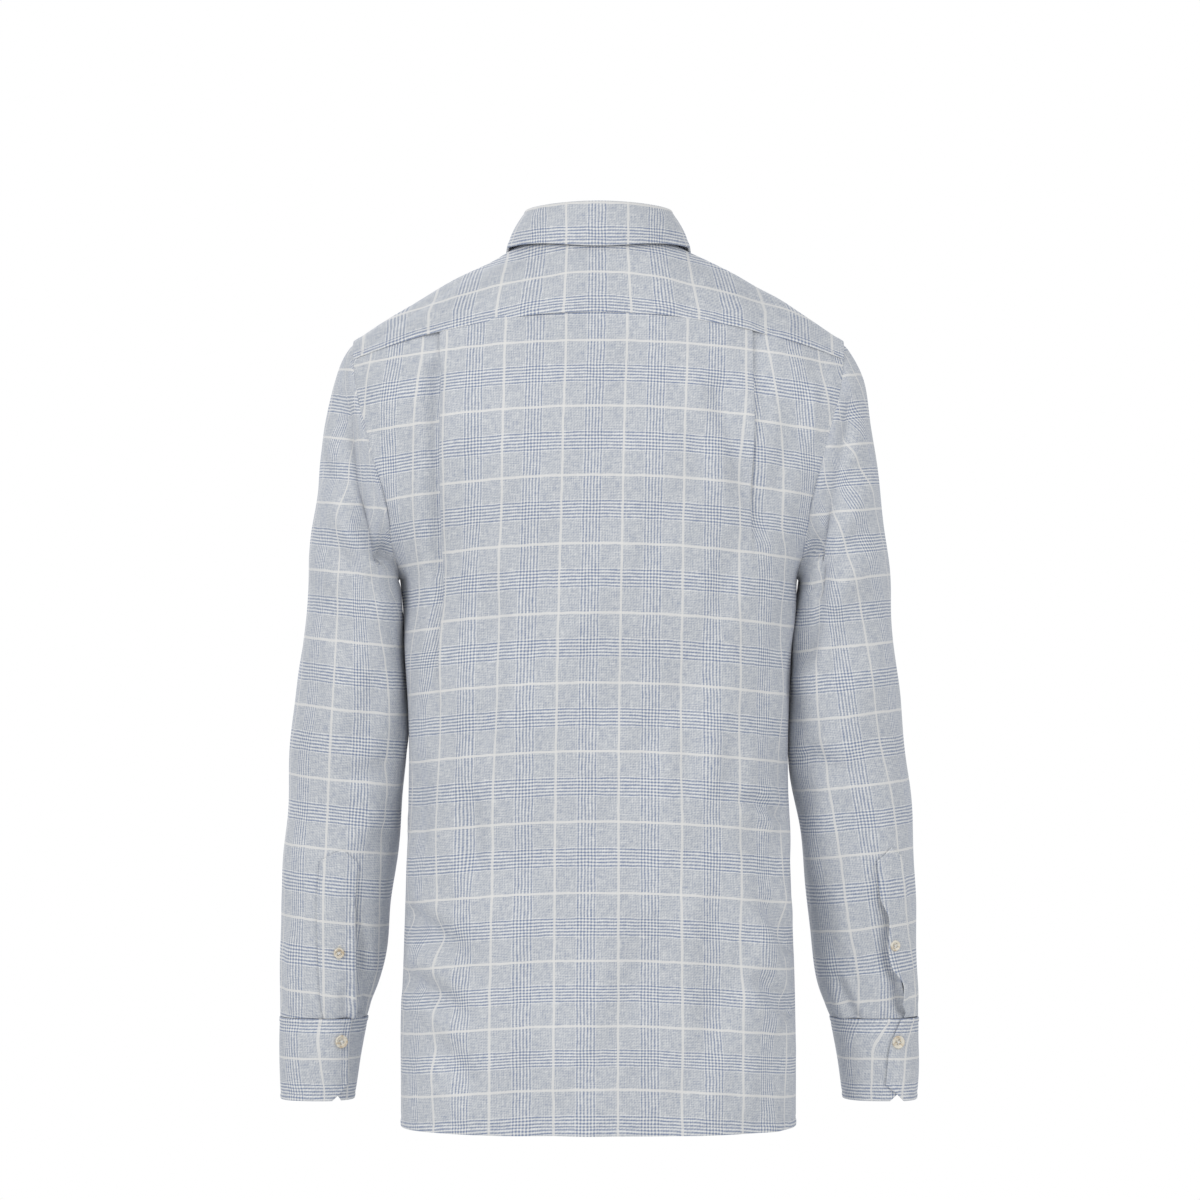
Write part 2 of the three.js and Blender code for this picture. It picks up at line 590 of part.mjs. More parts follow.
function makeStand() {
  const end = 180 + STAND.overlap;
  const grid = steps(2).map((up) =>
    steps(36).map((t) => {
      const round = mix(-end, end, t);
      return standPoint(round, up, standStep(round));
    }),
  );
  const pull = { firstColumn: 0, lastColumn: 0, firstRow: 0, lastRow: 0 };
  add("collar_stand", panel(grid, DOUBLE_CLOTH, pull, true), flannel());
}

// The way out of a surface given by two numbers.
function outwardsOf(surface, u, v, stepU, stepV) {
  const alongU = surface(u + stepU, v).sub(surface(u - stepU, v));
  const alongV = surface(u, v + stepV).sub(surface(u, v - stepV));
  return alongU.cross(alongV).normalize();
}

// The lower edge of the collar: on the yoke, then over the fronts to the point.
function collarEdge(round) {
  const last = COLLAR_EDGE[COLLAR_EDGE.length - 1];
  if (round <= last.round) {
    const degrees = 90 - round;
    const reach = read(COLLAR_EDGE, "round", round, "reach");
    const share = reach / neck(degrees).distanceTo(yokeOuter(degrees));
    const outwards = outwardsOf(yokePoint, degrees, share, 1, 0.01).negate();
    return yokePoint(degrees, share).add(outwards.multiplyScalar(COLLAR.lift));
  }
  const seamShare = NECKLINE_SHARE + (1 - NECKLINE_SHARE) * (last.reach / yokeSeamLength());
  const t = (round - last.round) / (COLLAR.frontEnd - last.round);
  const rowZ = mix(NECK_FRONT_Z, COLLAR_POINT.rowZ, t);
  return frontPoint(rowZ, mix(seamShare, COLLAR_POINT.share, t), COLLAR.lift);
}

const yokeSeamLength = () => neck(YOKE_FRONT_NECK).distanceTo(armhole(YOKE_FRONT_CORNER));

// One line of the collar from the top of the stand, over the roll and down to the edge.
function collarLine(round) {
  const radius = COLLAR.rollRadius;
  const reach = Math.abs(round);
  const top = standPoint(reach, 1, 0);
  const degrees = radians(90 - reach);
  const outwards = point(Math.cos(degrees) / NECK.halfWidth, Math.sin(degrees) / NECK.halfDepth, 0);
  outwards.normalize();
  const line = [top.clone().add(point(0, 0, DOUBLE_CLOTH / 2 + COLLAR.aboveStand))];
  for (const turn of [45, 90, 135, 180]) {
    const across = radius * (1 - Math.cos(radians(turn)));
    const up = DOUBLE_CLOTH / 2 + COLLAR.aboveStand + radius * Math.sin(radians(turn));
    line.push(top.clone().add(outwards.clone().multiplyScalar(across)).add(point(0, 0, up)));
  }
  const from = line[line.length - 1];
  const edge = collarEdge(reach);
  for (const t of steps(4).slice(1)) {
    const at = from.clone().lerp(edge, t);
    line.push(at.add(outwards.clone().multiplyScalar(COLLAR.bow * Math.sin(Math.PI * t))));
  }
  return round < 0 ? line.map(mirrored) : line;
}

function makeCollar() {
  const lines = steps(32).map((t) => collarLine(mix(-COLLAR.frontEnd, COLLAR.frontEnd, t)));
  const pull = { firstColumn: 0, lastColumn: 0, firstRow: 0, lastRow: 0 };
  add("collar", panel(lines, DOUBLE_CLOTH, pull, false), flannel());
}

// Sleeves
const SLEEVE_ROWS = SLEEVE.map((row, at) => ({ ...row, at }));
const SLEEVE_END = SLEEVE_ROWS.length - 1;
const SLEEVE_ROW_HEIGHT = 50; // between rows near the slit's top

// A point of a ring from its outer edge (0 degrees) by way of the back (90) to its inner edge (180).
function ringPoint(row, square, degrees) {
  const across = signedPower(Math.cos(radians(degrees)), 2 / square);
  const deep = signedPower(Math.sin(radians(degrees)), 2 / square);
  const [outer, inner] = [point(row.outerX, 0, row.outerZ), point(row.innerX, 0, row.innerZ)];
  const middle = outer.clone().lerp(inner, 0.5).setY(row.middleY);
  const half = outer.sub(inner).multiplyScalar(across / 2);
  return middle.add(half).add(point(0, row.depth * deep, 0));
}

function sleeveBase(at, degrees) {
  const row = {};
  for (const column of ["outerX", "outerZ", "innerX", "innerZ", "middleY", "depth"]) {
    row[column] = read(SLEEVE_ROWS, "at", at, column);
  }
  const placed = ringPoint(row, SLEEVE_SQUARE, degrees);
  const fade = clamp01(1 - at / ARMHOLE_FADE) ** 2;
  if (fade === 0) return placed;
  const shift = armhole(degrees).sub(ringPoint(SLEEVE_ROWS[0], SLEEVE_SQUARE, degrees));
  return placed.add(shift.multiplyScalar(fade));
}

// A point of a sleeve with its folds, lifted off it by a height, on the left side.
function sleevePoint(side, at, degrees, lift) {
  const placed = sleeveBase(at, degrees);
  const [low, high] = [Math.max(at - 0.05, 0), Math.min(at + 0.05, SLEEVE_END)];
  const alongArm = sleeveBase(high, degrees).sub(sleeveBase(low, degrees));
  const round = sleeveBase(at, degrees + 1).sub(sleeveBase(at, degrees - 1));
  const outwards = alongArm.cross(round).normalize();
  const calm = ease(at / 2) * ease((SLEEVE_END - at) / 1.5);
  const folds = foldHeight(SLEEVE_FOLDS[side], placed, outwards.y) * calm;
  return placed.add(outwards.multiplyScalar(lift + folds));
}

// The row of a sleeve whose outer edge is at this height.
function sleeveRowAt(z) {
  const k = SLEEVE_ROWS.findIndex((row) => row.outerZ < z);
  const [a, b] = [SLEEVE_ROWS[k - 1], SLEEVE_ROWS[k]];
  return a.at + (a.outerZ - z) / (a.outerZ - b.outerZ);
}

const onSide = (side, p) => (side === "left" ? p : mirrored(p));

// Round the sleeve at a share of the placket's width in from its free edge, from its top down.
function gauntletDegrees(wrist, down, share) {
  const width = mix(GAUNTLET.topWidth, GAUNTLET.footWidth, down);
  return mix(wrist.slitTop, wrist.slitFoot, down) - width * share;
}

function makeSleeve(side) {
  const wrist = WRISTS[side];
  const slitTop = sleeveRowAt(SLIT_TOP_Z);
  const above = heights(0, slitTop, SLEEVE_STEPS.aboveSlit);
  const levels = [...above, ...heights(slitTop, SLEEVE_END, SLEEVE_STEPS.besideSlit).slice(1)];
  const points = [];
  const numbers = levels.map((at, level) => {
    const open = level > SLEEVE_STEPS.aboveSlit;
    const columns = SLEEVE_AROUND + (open ? 1 : 0);
    const row = [];
    const slit = gauntletDegrees(wrist, clamp01((at - slitTop) / (SLEEVE_END - slitTop)), GAUNTLET.slit);
    for (let k = 0; k < columns; k++) {
      let degrees = slit + (360 * k) / SLEEVE_AROUND;
      if (open && k === 0) degrees += wrist.gape / 2;
      if (open && k === columns - 1) degrees -= wrist.gape / 2;
      const placed = sleevePoint(side, at, degrees, 0);
      if (level === 0) {
        const under = ((1 - Math.cos(radians(degrees))) / 2) ** 2;
        placed.add(sleevePoint(side, 0.5, degrees, 0).sub(placed).setLength(CORNER_SEAM));
        placed.x += UNDERARM_ROOM * under;
      }
      row.push(points.push(onSide(side, placed)) - 1);
    }
    if (!open) row.push(row[0]);
    return row;
  });
  const faces = [];
  for (let r = 0; r < numbers.length - 1; r++) {
    for (let k = 0; k < SLEEVE_AROUND; k++) {
      const face = [numbers[r][k], numbers[r + 1][k], numbers[r + 1][k + 1], numbers[r][k + 1]];
      faces.push(side === "left" ? face : face.reverse());
    }
  }
  add(`sleeve_${side}`, wall(points, faces, CLOTH), flannel());
}

function makeGauntlet(side) {
  const wrist = WRISTS[side];
  const columns = [0, 0.25, 0.5, 0.75, 1];
  const lastRowHeight = SLEEVE_ROWS[SLEEVE_END - 1].outerZ - SLEEVE_ROWS[SLEEVE_END].outerZ;
  const end = SLEEVE_END - GAUNTLET.aboveCuff / lastRowHeight;
  const slitTop = sleeveRowAt(SLIT_TOP_Z);
  const top = sleeveRowAt(SLIT_TOP_Z + GAUNTLET.aboveSlit);
  const levels = [top, mix(top, slitTop, 0.5), ...heights(slitTop, end, SLEEVE_STEPS.besideSlit)];
  const grid = levels.map((level, k) =>
    columns.map((share) => {
      const tip = k === 0 ? GAUNTLET.tip * (1 - Math.abs(2 * share - 1)) : 0;
      const down = clamp01((level - slitTop) / (end - slitTop));
      const degrees = gauntletDegrees(wrist, down, share);
      return onSide(side, sleevePoint(side, level - tip / SLEEVE_ROW_HEIGHT, degrees, LAYER));
    }),
  );
  const pull = { firstColumn: 0, lastColumn: 0, firstRow: 0, lastRow: 0 };
  add(`gauntlet_${side}`, panel(grid, CLOTH, pull, side === "left"), flannel());
}

// Cuffs
// A point of a cuff, round the wrist from its upper end, down from its seam.
function cuffPoint(side, round, down, lift) {
  const wrist = WRISTS[side];
  const top = SLEEVE_ROWS[SLEEVE_END];
  const row = {
    outerX: mix(top.outerX, CUFF.bottomOuterX, down),
    innerX: mix(top.innerX, CUFF.bottomInnerX, down),
    outerZ: mix(CUFF.topZ, CUFF.bottomZ, down),
    innerZ: mix(CUFF.topZ, CUFF.bottomZ, down),
    middleY: top.middleY,
    depth: mix(top.depth, CUFF.bottomHalfDepth, down),
  };
  const degrees = mix(wrist.edgeTop, wrist.edgeBottom, down) - round;
  const placed = ringPoint(row, SLEEVE_SQUARE, degrees);
  const before = ringPoint(row, SLEEVE_SQUARE, degrees - 1);
  const after = ringPoint(row, SLEEVE_SQUARE, degrees + 1);
  const outwards = point(0, 0, -1).cross(after.sub(before)).normalize();
  const { degrees: overlap, ramp, step } = CUFF_OVERLAP;
  const onTop = step * ease((overlap + ramp - round) / ramp);
  return onSide(side, placed.add(outwards.multiplyScalar(onTop + lift)));
}

function makeCuff(side) {
  const end = 360 + CUFF_OVERLAP.degrees;
  const { degrees: cut } = CUFF_MITRE;
  const between = steps(19).map((t) => mix(cut * 1.5, end - cut, t));
  const rounds = [0, cut / 2, cut, ...between, end - cut / 2, end];
  const mitre = (round) => CUFF_MITRE.height * clamp01(1 - Math.min(round, end - round) / CUFF_MITRE.degrees);
  const grid = steps(3).map((t) =>
    rounds.map((round) => {
      const height = CUFF.topZ - CUFF.bottomZ;
      return cuffPoint(side, round, t * (1 - mitre(round) / height), 0);
    }),
  );
  const pull = { firstColumn: 0, lastColumn: 0, firstRow: 0, lastRow: 0 };
  add(`cuff_${side}`, panel(grid, DOUBLE_CLOTH, pull, side === "right"), flannel());
}

// Buttons
function buttonGeometry(diameter) {
  const shape = new THREE.Shape().absarc(0, 0, diameter / 2, 0, 2 * Math.PI);
  for (const [x, y] of [[1, 0], [0, 1], [-1, 0], [0, -1]]) {
    const corners = steps(4).slice(1).map((t) => {
      const turn = 2 * Math.PI * t;
      return new THREE.Vector2(
        x * BUTTON.holeSpread + BUTTON.hole * Math.cos(turn),
        y * BUTTON.holeSpread + BUTTON.hole * Math.sin(turn),
      );
    });
    shape.holes.push(new THREE.Path(corners));
  }
  return new THREE.ExtrudeGeometry(shape, { depth: BUTTON.thickness, bevelEnabled: false, curveSegments: 7 });
}

// A button lying on a surface point, its back just clear of the cloth.
function addButton(name, diameter, at, outwards, wallThickness) {
  const mesh = add(name, buttonGeometry(diameter), shell());
  mesh.position.copy(at.add(outwards.clone().multiplyScalar(wallThickness / 2 + BUTTON.gap)));
  mesh.quaternion.setFromUnitVectors(point(0, 0, 1), outwards);
}

function makeFrontButtons() {
  for (let k = 0; k < FRONT_BUTTONS; k++) {
    const z = FRONT_BUTTON_TOP_Z - FRONT_BUTTON_STEP * k;
    const outwards = frontOutwards(z, 0);
    addButton(`button_front_${k + 1}`, BUTTON.front, frontPoint(z, 0, 2 * LAYER), outwards, CLOTH);
  }
  const foot = standPoint(180, 0.5, STAND.step);
  const rise = standPoint(180, 1, STAND.step).sub(standPoint(180, 0, STAND.step)).normalize();
  addButton("button_collar", BUTTON.front, foot, point(1, 0, 0).cross(rise), DOUBLE_CLOTH);
}

function makeWristButtons(side) {
  const wrist = WRISTS[side];
  const outwardsAt = (surface, u, v, stepU, stepV) => {
    const outwards = outwardsOf(surface, u, v, stepU, stepV);
    const away = surface(u, v).sub(onSide(side, point(242, SLEEVE_ROWS[SLEEVE_END].middleY, surface(u, v).z)));
    return outwards.dot(away) < 0 ? outwards.negate() : outwards;
  };
  const onGauntlet = (at, degrees) => onSide(side, sleevePoint(side, at, degrees, LAYER));
  const at = sleeveRowAt(wrist.gauntletButtonZ);
  const down = (at - sleeveRowAt(SLIT_TOP_Z)) / (SLEEVE_END - sleeveRowAt(SLIT_TOP_Z));
  const middle = gauntletDegrees(wrist, down, GAUNTLET.slit);
  const gauntletWay = outwardsAt(onGauntlet, at, middle, 0.1, 3);
  addButton(`button_gauntlet_${side}`, BUTTON.gauntlet, onGauntlet(at, middle), gauntletWay, CLOTH);
  const onCuff = (down, round) => cuffPoint(side, round, down, 0);
  const cuffDown = (CUFF.topZ - wrist.cuffButtonZ) / (CUFF.topZ - CUFF.bottomZ);
  const cuffWay = outwardsAt(onCuff, cuffDown, CUFF_BUTTON_ROUND, 0.05, 3);
  addButton(`button_cuff_${side}`, BUTTON.cuff, onCuff(cuffDown, CUFF_BUTTON_ROUND), cuffWay, DOUBLE_CLOTH);
}

makeBack();
makeFront("front_left", 1);
makeFront("front_right", -1);
makePlacket();
makeYoke();
makeStand();
makeCollar();
makeFrontButtons();
for (const side of ["left", "right"]) {
  makeSleeve(side);
  makeGauntlet(side);
  makeCuff(side);
  makeWristButtons(side);
}

export default shirt;
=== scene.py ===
"""A long-sleeved flannel shirt, filled out as if worn: its cloth, stitching, buttons and stage."""

import math

import bmesh
import bpy
import numpy as np
from bpy.props import FloatProperty, FloatVectorProperty, PointerProperty
from mathutils import Matrix, Vector


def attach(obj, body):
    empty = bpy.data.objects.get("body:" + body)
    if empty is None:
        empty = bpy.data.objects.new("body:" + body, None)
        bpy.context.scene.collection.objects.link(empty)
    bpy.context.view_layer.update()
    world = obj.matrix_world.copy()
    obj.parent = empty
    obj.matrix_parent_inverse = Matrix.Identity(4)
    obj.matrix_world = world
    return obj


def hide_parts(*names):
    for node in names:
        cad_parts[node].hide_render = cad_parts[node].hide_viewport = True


bl_info = {
    "name": "Flannel shirt",
    "version": (1, 0, 0),
    "blender": (4, 2, 0),
    "location": "3D View > Sidebar > Shirt",
    "description": "Sews the cloth, stitching and buttons of a glen check flannel shirt",
    "category": "Add Mesh",
}

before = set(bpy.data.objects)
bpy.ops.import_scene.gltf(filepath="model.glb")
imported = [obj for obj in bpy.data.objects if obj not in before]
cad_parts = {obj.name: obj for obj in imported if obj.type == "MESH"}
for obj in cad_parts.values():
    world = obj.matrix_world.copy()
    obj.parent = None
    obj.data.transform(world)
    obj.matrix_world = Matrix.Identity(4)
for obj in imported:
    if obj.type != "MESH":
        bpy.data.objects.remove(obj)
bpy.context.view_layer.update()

MM = 0.001

# Cut of the body, in millimetres, x towards the wearer's left and y towards the back
HEM_Z = -757
SIDE_SEAM_Y = 2
BACK_YOKE_Z = -53
NECK_FRONT_Z = -52
YOKE_SEAM_DROP_POWER = 2
# height, half width, depth behind, depth in front, squareness of the oval
BODY = (
    (-757, 171, 114, 112, 2.5),
    (-700, 171, 115, 112, 2.5),
    (-600, 168.5, 112, 110, 2.45),
    (-500, 165, 108, 109, 2.4),
    (-440, 164, 107, 110, 2.4),
    (-380, 165.5, 109, 113, 2.4),
    (-320, 168.5, 113, 117, 2.4),
    (-283, 172, 116, 119, 2.4),
    (-220, 182, 118, 120, 2.4),
    (-160, 195, 115, 113, 2.3),
    (-110, 207, 108, 92, 2.15),
    (-53, 212, 96, 52, 2),
    (-30, 212, 90, 40, 2),
)
ARMHOLE_Z = -179.5
ARMHOLE_HALF_HEIGHT = 103.5
ARMHOLE_HALF_DEPTH = 66
UNDERARM_Z = ARMHOLE_Z - ARMHOLE_HALF_HEIGHT
ARMHOLE_LEAN = ((-283, 172), (-262, 175.5), (-214, 184), (-180, 192), (-136, 203), (-105, 208.5), (-76, 211))
YOKE_CORNER = {"back": 32, "front": -32}
NECK = {"half_width": 63, "y": 11, "half_depth": 59, "back_z": 12, "side_z": 8, "power": 1.7}
YOKE_NECK = {"back": 20, "front": -30}
YOKE_BULGE = 4
NECKLINE_SHARE = 0.38
NECKLINE_REACH_Z = -215

# Pleats: where the fold lies, then height, cloth folded under, degrees turned over
PLEAT_RADIUS = 0.85
PLEAT_DIP = 24
PLEAT_SPREAD = 0.5
PLEAT_STEPS = {"centre": 44, "turn": 5, "under": 4, "outer": 38}
PLEAT_SETS = 6  # how far the check hangs lower outside a pleat
PLEAT_TOP_Z = -85
PLEATS = {
    "left": (
        135,
        (
            (-480, 0, 0),
            (-400, 0, 70),
            (-365, 1.5, 180),
            (-330, 5, 180),
            (-290, 7, 180),
            (-220, 8, 180),
            (-145, 9, 180),
            (-53, 12, 180),
        ),
    ),
    "right": (
        131,
        (
            (-320, 0, 0),
            (-240, 0, 60),
            (-205, 1.5, 180),
            (-157, 3.5, 180),
            (-113, 8, 180),
            (-53, 14, 180),
        ),
    ),
}

# Front closing
PLACKET_WIDTH = 32
PLACKET_RAMP = 14
LAYER = 2
FRONT_BUTTONS = tuple(-118 - 96 * k for k in range(6))

# Collar, in degrees round the neck from the middle of the back
STAND = {"height": 23.5, "front_height": 25, "lean": 5, "front_lean": 8, "overlap": 11, "step": 1.3}
STAND_START = {"back": 1, "front": 2.6}
COLLAR = {"roll": 2.8, "bow": 2, "end": 173, "lift": 3.6, "above_stand": 0.6}
COLLAR_EDGE = ((0, 14.5), (60, 13.5), (90, 15.5), (120, 22))
COLLAR_POINT = {"z": -112, "share": 0.24}
COLLAR_LADDER_X = 1.3

# Sleeve rings: outer x and z, inner x and z, middle y, half depth
SLEEVE = (
    (211, -76, 172, -283, 2, 66),
    (222, -94, 174.6, -287, 2, 68),
    (231, -120, 174, -295, 1, 70),
    (237.5, -156, 172.4, -307, -2, 72),
    (244, -206, 170.4, -324, -6, 72),
    (250, -258, 168.6, -346, -12, 71),
    (256.5, -322, 165.6, -380, -20, 69),
    (264, -395, 166.2, -425, -27, 66),
    (270.5, -470, 172, -482, -32, 62),
    (275.5, -530, 179.5, -535, -35, 58),
    (278.4, -587, 186.5, -589, -37, 53),
    (278.8, -632, 193, -633, -38, 47),
    (278.5, -655, 199.5, -655, -38.5, 42.5),
    (278.2, -665, 203.5, -665, -38.5, 40),
)
SLEEVE_SQUARE = 2.4
SLEEVE_LAST = len(SLEEVE) - 1
ARMHOLE_FADE = 3
SLIT_TOP_Z = -558
GAUNTLET = {"above_slit": 33, "tip": 10, "top_width": 32, "foot_width": 40, "above_cuff": 2.5, "row_height": 50}
WRISTS = {
    "left": {"slit_top": 109, "slit_foot": 132, "gape": 1},
    "right": {"slit_top": 76, "slit_foot": 57, "gape": 7},
}
WRIST_BUTTONS = {"left": (-604, -685), "right": (-599, -685.5)}
# The wavy free edge of the right sleeve's placket: height, degrees round the sleeve
RIGHT_GAUNTLET_EDGE = ((-515, 77), (-556, 77), (-577, 69), (-602, 71.5), (-617, 70), (-635, 60), (-651, 60), (-660, 54))

GAUNTLET_STANDS = 6
SLEEVE_SINKS = {"left": 3.5, "right": 5}
GAUNTLET_WAVES = 1.4

CUFF = {"top_z": -665.5, "foot_z": -737, "outer_x": 278, "inner_x": 216, "half_depth": 38.5}
CUFF_MITRE = {"height": 14.5, "degrees": 27}
CUFF_LAP = {"degrees": 34, "ramp": 40, "step": 2.6}
# The upper end of each cuff: share of its height, degrees round the wrist
CUFF_EDGE = {
    "left": ((0, 128), (0.2, 127), (0.6, 132), (1, 140)),
    "right": ((0, 60), (0.14, 68), (0.34, 78), (0.7, 84), (1, 88)),
}
CUFF_BUTTON_ROUND = {"left": 13, "right": 8.5}
BUTTONHOLE_ASIDE = 5
GAUNTLET_BUTTON_ASIDE = {"left": 0, "right": 9}
ROUND_THE_WRIST = 360 + CUFF_LAP["degrees"]

# Pattern of the cloth: repeats across and down, and where the cream lines fall
REPEAT_ACROSS = 53.5
REPEAT_DOWN = 60
# height on the back, x of its middle ladder, width of a repeat there
BACK_LADDER = ((-53, 2, 52), (-153, 4.6, 52), (-266, 7.2, 52.6), (-388, 9.6, 53.4), (-562, 11, 54.4), (-757, 11.6, 55))
BACK_CREAM_Z = (-79, -135, -194, -252, -311, -370.5, -429, -489, -549.5, -607, -662.5, -716.5)
# On the sleeves: height and x of a cream line (left) or of a ladder (right), and heights of the cream lines
SLEEVE_LINE = {
    "left": ((-100, 214), (-179, 217), (-251, 221), (-391, 228), (-543, 237), (-660, 238)),
    "right": ((-160, 186), (-230, 194), (-305, 203), (-412, 217), (-495, 231), (-578, 243), (-640, 252)),
}
SLEEVE_LINE_PHASE = {"left": 0, "right": REPEAT_ACROSS / 2}
SLEEVE_CREAM_Z = {
    "left": (-160, -216.5, -275, -334.5, -393.5, -455, -516, -579, -643),
    "right": (-165, -222, -280, -338.5, -398.5, -460, -520, -585, -649),
}
SLEEVE_TILT = 0.1
SLEEVE_TILT_X = 235
YOKE_LADDER_X = 1.5
YOKE_CREAM = 21.5
YOKE_SAG = 23
YOKE_SAG_X = 134
SHOULDER_Y = 8
BODY_SAG = 10
BODY_SAG_X = 150

# Creases placed one by one on the body: side, start, middle and end as x and z, width, depth,
# height of the ridge left and right of it, and how much of its length fades in and out
BODY_CREASES = (
    ("back", (141, -90), (140, -196), (138, -352), 7, -6.2, 2.4, 1.6, 0.08, 0.4),
    ("back", (116, -92), (118, -170), (124, -270), 11, 2.4, 0, 0, 0.3, 0.5),
    ("back", (90, -262), (90, -360), (104, -520), 11, -6.8, 3.0, 2.0, 0.3, 0.3),
    ("back", (112, -440), (108, -500), (104, -560), 9, -5.4, 2.0, 2.4, 0.35, 0.35),
    ("back", (150, -420), (156, -480), (150, -545), 12, -5.6, 1.6, 2.4, 0.35, 0.35),
    ("back", (170, -572), (142, -588), (104, -612), 11, -9.0, 3.6, 2.6, 0.05, 0.5),
    ("back", (170, -628), (138, -640), (98, -668), 10, -8.0, 3.0, 2.6, 0.05, 0.5),
    ("back", (150, -676), (120, -700), (96, -742), 12, -4.4, 2.0, 1.4, 0.3, 0.5),
    ("back", (-98, -104), (-116, -170), (-134, -250), 11, -7.0, 2.4, 3.0, 0.2, 0.35),
    ("back", (-70, -96), (-84, -150), (-92, -214), 16, -3.2, 1.0, 1.4, 0.3, 0.5),
    ("back", (-72, -350), (-76, -420), (-80, -500), 12, -4.6, 1.6, 2.0, 0.3, 0.4),
    ("back", (-112, -470), (-138, -476), (-164, -492), 6, -4.6, 2.2, 1.4, 0.4, 0.1),
    ("back", (-136, -552), (-152, -576), (-168, -606), 9, -7.6, 3.0, 2.4, 0.4, 0.05),
    ("back", (-126, -616), (-146, -636), (-168, -660), 9, -6.8, 2.8, 2.4, 0.4, 0.05),
    ("back", (-92, -520), (-100, -610), (-96, -700), 18, -4.2, 1.6, 2.2, 0.4, 0.4),
    ("back", (-182, -104), (-184, -140), (-181, -176), 5, 2.6, 0, 0, 0.3, 0.3),
    ("back", (44, -470), (40, -600), (52, -764), 24, -3.4, 1.4, 1.8, 0.4, 0),
    ("back", (-30, -420), (-40, -560), (-34, -764), 26, -3.2, 1.6, 1.4, 0.5, 0),
    ("back", (56, -250), (30, -320), (44, -400), 18, -2.4, 1.0, 1.2, 0.4, 0.4),
    ("back", (100, -110), (96, -170), (104, -250), 18, -2.4, 1.0, 0.8, 0.3, 0.5),
    ("front", (172, -226), (134, -276), (92, -336), 15, -5.4, 2.6, 1.6, 0, 0.5),
    ("front", (166, -196), (120, -236), (72, -272), 13, -3.2, 1.8, 1.0, 0.1, 0.6),
    ("front", (-174, -232), (-130, -270), (-86, -326), 15, -5.6, 1.8, 2.6, 0, 0.5),
    ("front", (-164, -188), (-118, -214), (-70, -258), 12, -2.8, 1.0, 1.6, 0.1, 0.6),
    ("front", (170, -462), (134, -484), (96, -512), 13, -5.0, 2.4, 1.8, 0, 0.5),
    ("front", (170, -520), (140, -536), (108, -566), 11, -3.8, 1.8, 1.4, 0, 0.5),
    ("front", (-170, -448), (-136, -474), (-104, -506), 13, -5.2, 1.8, 2.4, 0, 0.5),
    ("front", (-170, -566), (-144, -584), (-112, -612), 10, -3.6, 1.2, 1.8, 0, 0.5),
    ("front", (88, -540), (98, -650), (104, -764), 20, 3.6, 0, 0, 0.4, 0),
    ("front", (-80, -520), (-92, -640), (-98, -764), 20, 3.6, 0, 0, 0.4, 0),
    ("front", (46, -120), (50, -220), (44, -330), 16, -2.2, 0.8, 1.0, 0.3, 0.5),
    ("front", (-50, -128), (-46, -230), (-52, -320), 16, -2.0, 1.0, 0.8, 0.3, 0.5),
)
